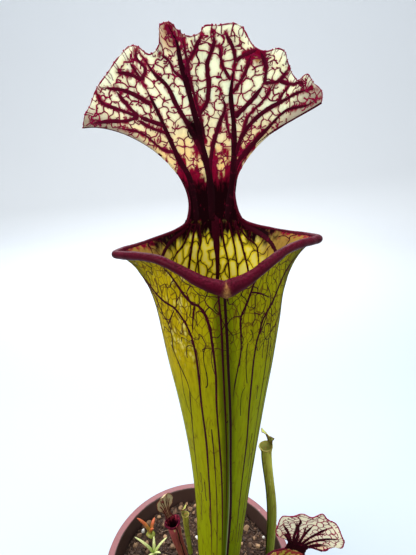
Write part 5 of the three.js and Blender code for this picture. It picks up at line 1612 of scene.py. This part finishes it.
def tallTubeThreads(form, random):
    # In front, most walls of the cells are left out below a ragged line, level ones most of all; above
    # it and behind, only a few are.
    routes = [route for _, _, route in toMap(tubeVeins, squeezed)]
    walls = tubeNet(form, routes, random, netting, tallNet["tubeFrom"], squeezed)
    across, middle = np.abs(walls[:, 1] - walls[:, 0]), walls.mean(1)
    height, front = loosened(middle[:, 1]), np.abs(middle[:, 0]) < netting["mapRadius"] * 1.95
    level = across[:, 0] > across[:, 1]
    below = np.where(level, 0.98, np.where(height < 180, 0.88, 0.66))
    above = np.where(front, np.where(level, 0.24, 0.10), 0.06)
    line = tallNet["join"] + 3 + 9 * np.sin(0.23 * middle[:, 0] + 0.5) + 7 * np.sin(0.61 * middle[:, 0] + 2)
    dropped = random.uniform(0, 1, len(walls)) < np.where(front & (height < line), below, above)
    threads = bowedWalls(random, walls[~dropped], netting["steps"], netting["bow"])
    threads[..., 1] = loosened(threads[..., 1])
    return threads


def tallFields(form, lidLines, tubeLines, tubeRoutes):
    # The named values of the tall pitcher's wall, sums of soft steps and bells: "window" is the clear
    # leaf between the veins, and the others say where a colour of leafFinish lies.
    lidMain = sampled(lidVeins)
    lidAll = np.concatenate([lidMain, lidLines.reshape(-1, 2)])
    tubeAll = np.concatenate([sampled(tubeRoutes), tubeLines.reshape(-1, 2)])

    def lidFields(flat):
        x, s = flat.T
        near, spots = nearestDistance(flat, lidMain), np.zeros(len(flat))
        for spotX, spotS, reach, strength in blotches:
            spots += strength * np.exp(-((x - spotX) ** 2 + (s - spotS) ** 2) / reach**2)
        base = 22 + 2.5 * np.sin(0.9 * x + 2) + 1.5 * np.sin(2.3 * x) - 3.5 * np.exp(-((x + 4) / 3) ** 2)
        slant = x - stain[0] + 0.45 * (s - stain[1])
        stained = np.exp(-(slant**2 / 10 + (s - stain[1]) ** 2 / 26) ** 2)
        scorched = np.exp(-((x - heart[0]) ** 2 + (s - heart[1]) ** 2) / 3)
        tip = np.exp(-((x + 18.5) / 4.5) ** 2) * smoothStep(s, 68, 76)
        rise = 1.2 - 1.2 * smoothStep(s, base - 5, base + 8)
        flank = np.abs(form.lidPlace(x, s)[0])
        return {"lidShare": np.ones(len(flat)), "warm": 1 - smoothStep(s, 27, 52),
                "neck": np.clip(1.2 - 1.1 * smoothStep(s, 9, 26) + 1.3 * stained, 0, 1.2),
                "blush": np.clip(0.75 * np.exp(-(near / 1.6) ** 2) + spots * (1 - scorched) + rise, 0, 1),
                "burn": np.clip(scorched + 0.65 * tip, 0, 1),
                # painted shade on the flanks that fold back, from about 22 mm up the lid
                "fold": 0.75 * smoothStep(flank, 0.80, 0.96) * smoothStep(s, 22, 34),
                "window": smoothStep(nearestDistance(flat, lidAll), 0.1, 1.3)}

    def tubeFields(flat):
        angle, z = flat.T
        across = roundToFlat(angle)
        side, back, degrees = np.sin(angle), -np.cos(angle), np.degrees(across / netting["mapRadius"])
        green = (0.10 + 0.55 * smoothStep(side, -0.25, 0.6) * (1 - 0.45 * smoothStep(z, 190, 240))
                 + 0.5 * (1 - smoothStep(z, 70, 190)))
        # painted shade: a dark band each side of the fin, where the fin shades the wall, stronger on its
        # left, and one down each outline
        band = np.exp(-((degrees + 5) / 4.5) ** 4) + 0.5 * np.exp(-((degrees - 3.5) / 3) ** 4)
        left, right = (np.interp(z, outlineShade["heights"], outlineShade[key]) for key in ("left", "right"))
        band += (0.95 * np.exp(-((degrees - left) / outlineShade["leftHalf"]) ** 4)
                 + 0.95 * np.exp(-((degrees - right) / outlineShade["rightHalf"]) ** 4))
        ragged = 1.6 * np.sin(0.9 * across) + np.sin(2.1 * across + 1)
        near = nearestDistance(np.stack([across, z], -1), tubeAll)
        return {"green": np.clip(green + 0.5 * np.exp(-(degrees / 14) ** 4), 0, 1),
                "gold": smoothStep(z, 175, 228) * (1 - 0.6 * smoothStep(side, -0.75, -0.3)),
                "neck": smoothStep(z + ragged, 250, 256.5) * smoothStep(back, 0.2, 0.7),
                "ear": smoothStep(z, 240, 252) * (1 - smoothStep(back, 0.45, 0.85)),
                "blush": 0.62 * smoothStep(z, 252, 259) * smoothStep(back, -0.6, 0.0),
                "band": np.clip(band, 0, 1), "window": smoothStep(near, 0.1, 1.4)}

    return lambda kind, flat: lidFields(flat) if kind == "lid" else tubeFields(flat)


def makeTallPitcher(materials, random):
    form = PitcherForm(tallPitcher)
    lidLines, tubeLines = tallLidThreads(form, random), tallTubeThreads(form, random)
    tubeRoutes = toMap(tubeVeins)
    wall = pitcherWall("tallPitcherWall", form, tallFields(form, lidLines, tubeLines, tubeRoutes))
    finishPiece(wall, "pitcher_leaf", materials["tallPitcherLeaf"], "tall_pitcher")
    print("tall pitcher wall made")
    lidVeinPiece("tallLidVeins", form, widened(lidVeins, "lid"), lidLines, random, materials["darkVein"],
                 margins["width"], netting["width"], [(*stain, stainReach)])
    parts = [(*thickenRoutes(onTube(form), widened(tubeRoutes, "tube"), 0.26), 0.06)]
    points, faces = netRibbons(onTube(form), tubeLines, random, netting["tubeWidth"], 0.10)
    shade = random.uniform(0.0, 0.14, len(tubeLines))
    parts.append((points, faces, np.repeat(shade, len(points) // len(tubeLines))))
    veinPiece("tallTubeVeins", form, parts, materials["tubeVein"])
    print("tall pitcher veins made:", len(lidLines), "on the lid,", len(tubeLines), "on the tube")
    finishPiece(pitcherLip("tallPitcherLip", form, lipShape), "pitcher_lip", materials["waxyPlumLip"],
                "tall_pitcher")
    finishPiece(pitcherWing("tallPitcherWing", form), "pitcher_leaf", materials["wingEdge"], "tall_pitcher")


# veins is how many fan out over the lid and widths how wide they are, and lines is how many veins the tube
# has; neck is where the dark neck ends, as a share of the lid's length
slenderLook = {
    "slot": "olive_leaf", "leaf": "slenderPitcherLeaf", "vein": "brownVein", "lip": "paleGreenLip",
    "neck": -0.2, "blush": 0.3, "rim": 0.3, "veins": 5, "widths": (0.45, 0.3), "lines": 6, "net": False,
}
smallPitchers = {
    "sidePitcher": {
        "form": sidePitcher, "node": "side_pitcher", "slot": "pitcher_leaf", "leaf": "sidePitcherLeaf",
        "vein": "darkVein", "lip": "waxyPlumLip", "neck": 0.10, "blush": 0.55, "rim": 0.7,
        "veins": 9, "widths": (2.8, 1.4), "lines": 12, "net": True,
    },
    "hoodedPitcher": {
        "form": hoodedPitcher, "node": "hooded_pitcher", "slot": "young_pitcher", "leaf": "hoodedPitcherLeaf",
        "vein": "brownVein", "lip": "waxyPlumLip", "neck": -0.2, "blush": 0.6, "rim": 0.5,
        "veins": 7, "widths": (0.7, 0.4), "lines": 8, "net": False,
    },
    "slenderPitcherRight": {**slenderLook, "form": slenderRight, "node": "slender_pitcher_right"},
    "slenderPitcherLeft": {**slenderLook, "form": slenderLeft, "node": "slender_pitcher_left"},
}
# main veins that fan out over a small lid, each with a fork
fan = {"spread": 0.86, "reach": (0.72, 0.96), "points": 7, "wander": 0.02, "widest": 0.97, "forkFrom": 3,
       "forkAcross": [0, 0.05, 0.11], "forkUp": [0, 0.14, 0.30], "forkShorter": 0.98, "forkWidth": 0.7}
smallTube = {"from": 0.12, "to": 0.985, "points": 8, "wander": 2.0, "width": 0.6, "relief": 0.1, "steps": 36,
             "tone": 0.45}
smallEdge = (0.35, 0.7)   # the margin's width as a share of a vein's, and how much of it the thin end has
smallNet = {**netting, "spacing": 2.6, "pairStep": 2.8, "pairOffset": 1.2, "marginStep": 2.0, "steps": 6,
            "width": (0.6, 1.2)}


def fannedRoutes(form, random, count, widths):
    made, most = [], fan["widest"]
    for a in np.linspace(-fan["spread"], fan["spread"], count):
        top = random.uniform(*fan["reach"])
        t = np.linspace(0.02, top, fan["points"])
        drift = a + np.cumsum(random.normal(0, fan["wander"], fan["points"]))
        made.append((*widths, form.lidSheet(np.clip(drift, -most, most), t)))
        across = drift[fan["forkFrom"]] + np.array(fan["forkAcross"]) * random.choice([-1, 1])
        up = (t[fan["forkFrom"]] + np.array(fan["forkUp"])) * fan["forkShorter"]
        fork = form.lidSheet(np.clip(across, -most, most), up)
        made.append((*(fan["forkWidth"] * width for width in widths), fork))
    return made


def smallTubeRoutes(form, random, count, widths):
    # lines up the tube, evenly round it, each swaying a little from side to side
    heights = np.linspace(smallTube["from"], smallTube["to"], smallTube["points"]) * form.mouth
    made = []
    for k in range(count):
        sway = -180 + 360 * (k + 0.5) / count + np.cumsum(random.normal(0, smallTube["wander"], len(heights)))
        made.append((*(smallTube["width"] * width for width in widths), list(zip(sway, heights))))
    return toMap(made)


def smallFields(form, lidRoutes, tubeRoutes, look):
    # The same named values for a small pitcher: green at the foot and gold above, and a blush beside the
    # veins and below the rim.
    lidMain, tubeMain = sampled(lidRoutes), sampled(tubeRoutes)
    length, neck = form.leaf["lidLength"], look["neck"]

    def fields(kind, flat):
        across, up = flat.T
        if kind == "lid":
            near = nearestDistance(flat, lidMain)
            return {"lidShare": np.ones(len(flat)), "warm": 1 - smoothStep(up, 0.15 * length, 0.5 * length),
                    "neck": 1 - smoothStep(up, neck * length, (neck + 0.14) * length),
                    "blush": np.clip(look["blush"] * np.exp(-(near / 0.6) ** 2), 0, 1),
                    "window": smoothStep(near, 0.1, 1.2)}
        near = nearestDistance(np.stack([roundToFlat(across), up], -1), tubeMain)
        share = up / form.mouth
        blush = look["blush"] * np.exp(-(near / 1.4) ** 2) + look["rim"] * smoothStep(share, 0.86, 1)
        return {"green": np.clip(1.1 - 1.2 * share, 0, 1), "gold": smoothStep(share, 0.5, 0.95),
                "window": np.ones(len(flat)), "blush": np.clip(blush, 0, 1)}

    return fields


def makeSmallPitcher(name, look, materials, random):
    form, node, slot, vein = PitcherForm(look["form"]), look["node"], look["slot"], materials[look["vein"]]
    lidRoutes = fannedRoutes(form, random, look["veins"], look["widths"])
    tubeRoutes = smallTubeRoutes(form, random, look["lines"], look["widths"])
    net = lidThreads(form, lidRoutes, random, smallNet) if look["net"] else None
    wall = pitcherWall(name + "Wall", form, smallFields(form, lidRoutes, tubeRoutes, look))
    finishPiece(wall, slot, materials[look["leaf"]], node)
    wide, narrowed = smallEdge[0] * look["widths"][0], smallEdge[1]
    lidVeinPiece(name + "LidVeins", form, lidRoutes, net, random, vein, (wide, narrowed * wide),
                 smallNet["width"])
    lines = thickenRoutes(onTube(form), tubeRoutes, smallTube["relief"], smallTube["steps"])
    veinPiece(name + "TubeVeins", form, [(*lines, smallTube["tone"])], vein)
    finishPiece(pitcherLip(name + "Lip", form, smallLipShape), "pitcher_lip", materials[look["lip"]], node)
    finishPiece(pitcherWing(name + "Wing", form, 60), slot, materials["wingEdge"], node)
    print(name, "made")


swordLeaves = {
    "sword_leaf_right": {"foot": (46, -12), "clear": 4, "heading": 290, "length": 60, "width": 6, "bend": 8},
    "sword_leaf_left": {"foot": (-16, -20), "clear": 4, "heading": 205, "length": 52, "width": 7, "bend": 26},
}
# leaves are (heading, length, bend)
tufts = {
    "green_seedling": {"foot": (-33, 10), "clear": 3, "width": 2.6, "finish": "seedlingGreen",
                       "slot": "green_leaf",
                       "leaves": [(20, 19, 10), (95, 15, 7), (170, 21, 14), (250, 14, 8), (310, 17, 9)]},
    "red_seedling": {"foot": (-38, 27), "clear": 4, "width": 3.4, "finish": "seedlingRed", "slot": "red_leaf",
                     "leaves": [(60, 15, 6), (190, 24, 9), (300, 18, 7)]},
}
crown = {"depth": 1, "growth": 1.1, "swordDepth": 5, "swordThickness": 1.6, "points": 14, "sides": 24}


def makeFlatLeaves(materials):
    for node, leaf in swordLeaves.items():
        foot = (*leaf["foot"], soil["level"] - crown["swordDepth"])
        shape = [leaf[key] for key in ("heading", "length", "width", "bend")]
        points, faces, share = bladeSurface(foot, *shape, crown["swordThickness"])
        words = node.split("_")
        piece = meshPiece(words[0] + "Leaf" + words[2].title(), points, faces, {"tipShare": share})
        finishPiece(piece, "green_leaf", materials["swordGreen"], node)
    # a tuft's narrow leaves stand on a small ball
    turn = np.linspace(0, np.pi, crown["points"])
    for node, tuft in tufts.items():
        root, width = np.array([*tuft["foot"], soil["level"] - crown["depth"]], float), tuft["width"]
        parts = [bladeSurface(root, heading, length, width, bend, 0.5 * width, 30, 14)
                 for heading, length, bend in tuft["leaves"]]
        outline = width * crown["growth"] * np.stack([np.sin(turn), -np.cos(turn)], -1)
        outline[[0, -1], 0] = 0
        points, faces = lathed(outline, crown["sides"])
        parts.append((points + root, faces, 0.0))
        points, faces, share = joined(parts)
        piece = meshPiece(node.split("_")[0] + "Tuft", points, faces, {"tipShare": share})
        finishPiece(piece, tuft["slot"], materials[tuft["finish"]], node)


# The whole scene.

bpy.context.scene.view_settings.view_transform = "Standard"
makeCamera()
makeLights()
makeFloor(floorFinish())
random = np.random.default_rng(7)
materials = plantFinishes()
print("finishes made")
makePot(potFinish())
print("pot made")
leaves = [tallPitcher, *(look["form"] for look in smallPitchers.values()), *swordLeaves.values(),
          *tufts.values()]
keepOff = [(*leaf["foot"][:2], leaf["clear"]) for leaf in leaves]
lumps = makeSoil(peatFinish(), random)
makeGrains(materials, random, lumps, keepOff)
makeFibres(materials["peatFibre"], random, lumps, keepOff)
makeRhizome(rhizomeFinish(), random)
print("soil and rhizome made")
makeTallPitcher(materials, random)
for name, look in smallPitchers.items():
    makeSmallPitcher(name, look, materials, random)
makeFlatLeaves(materials)
print("small plants made")
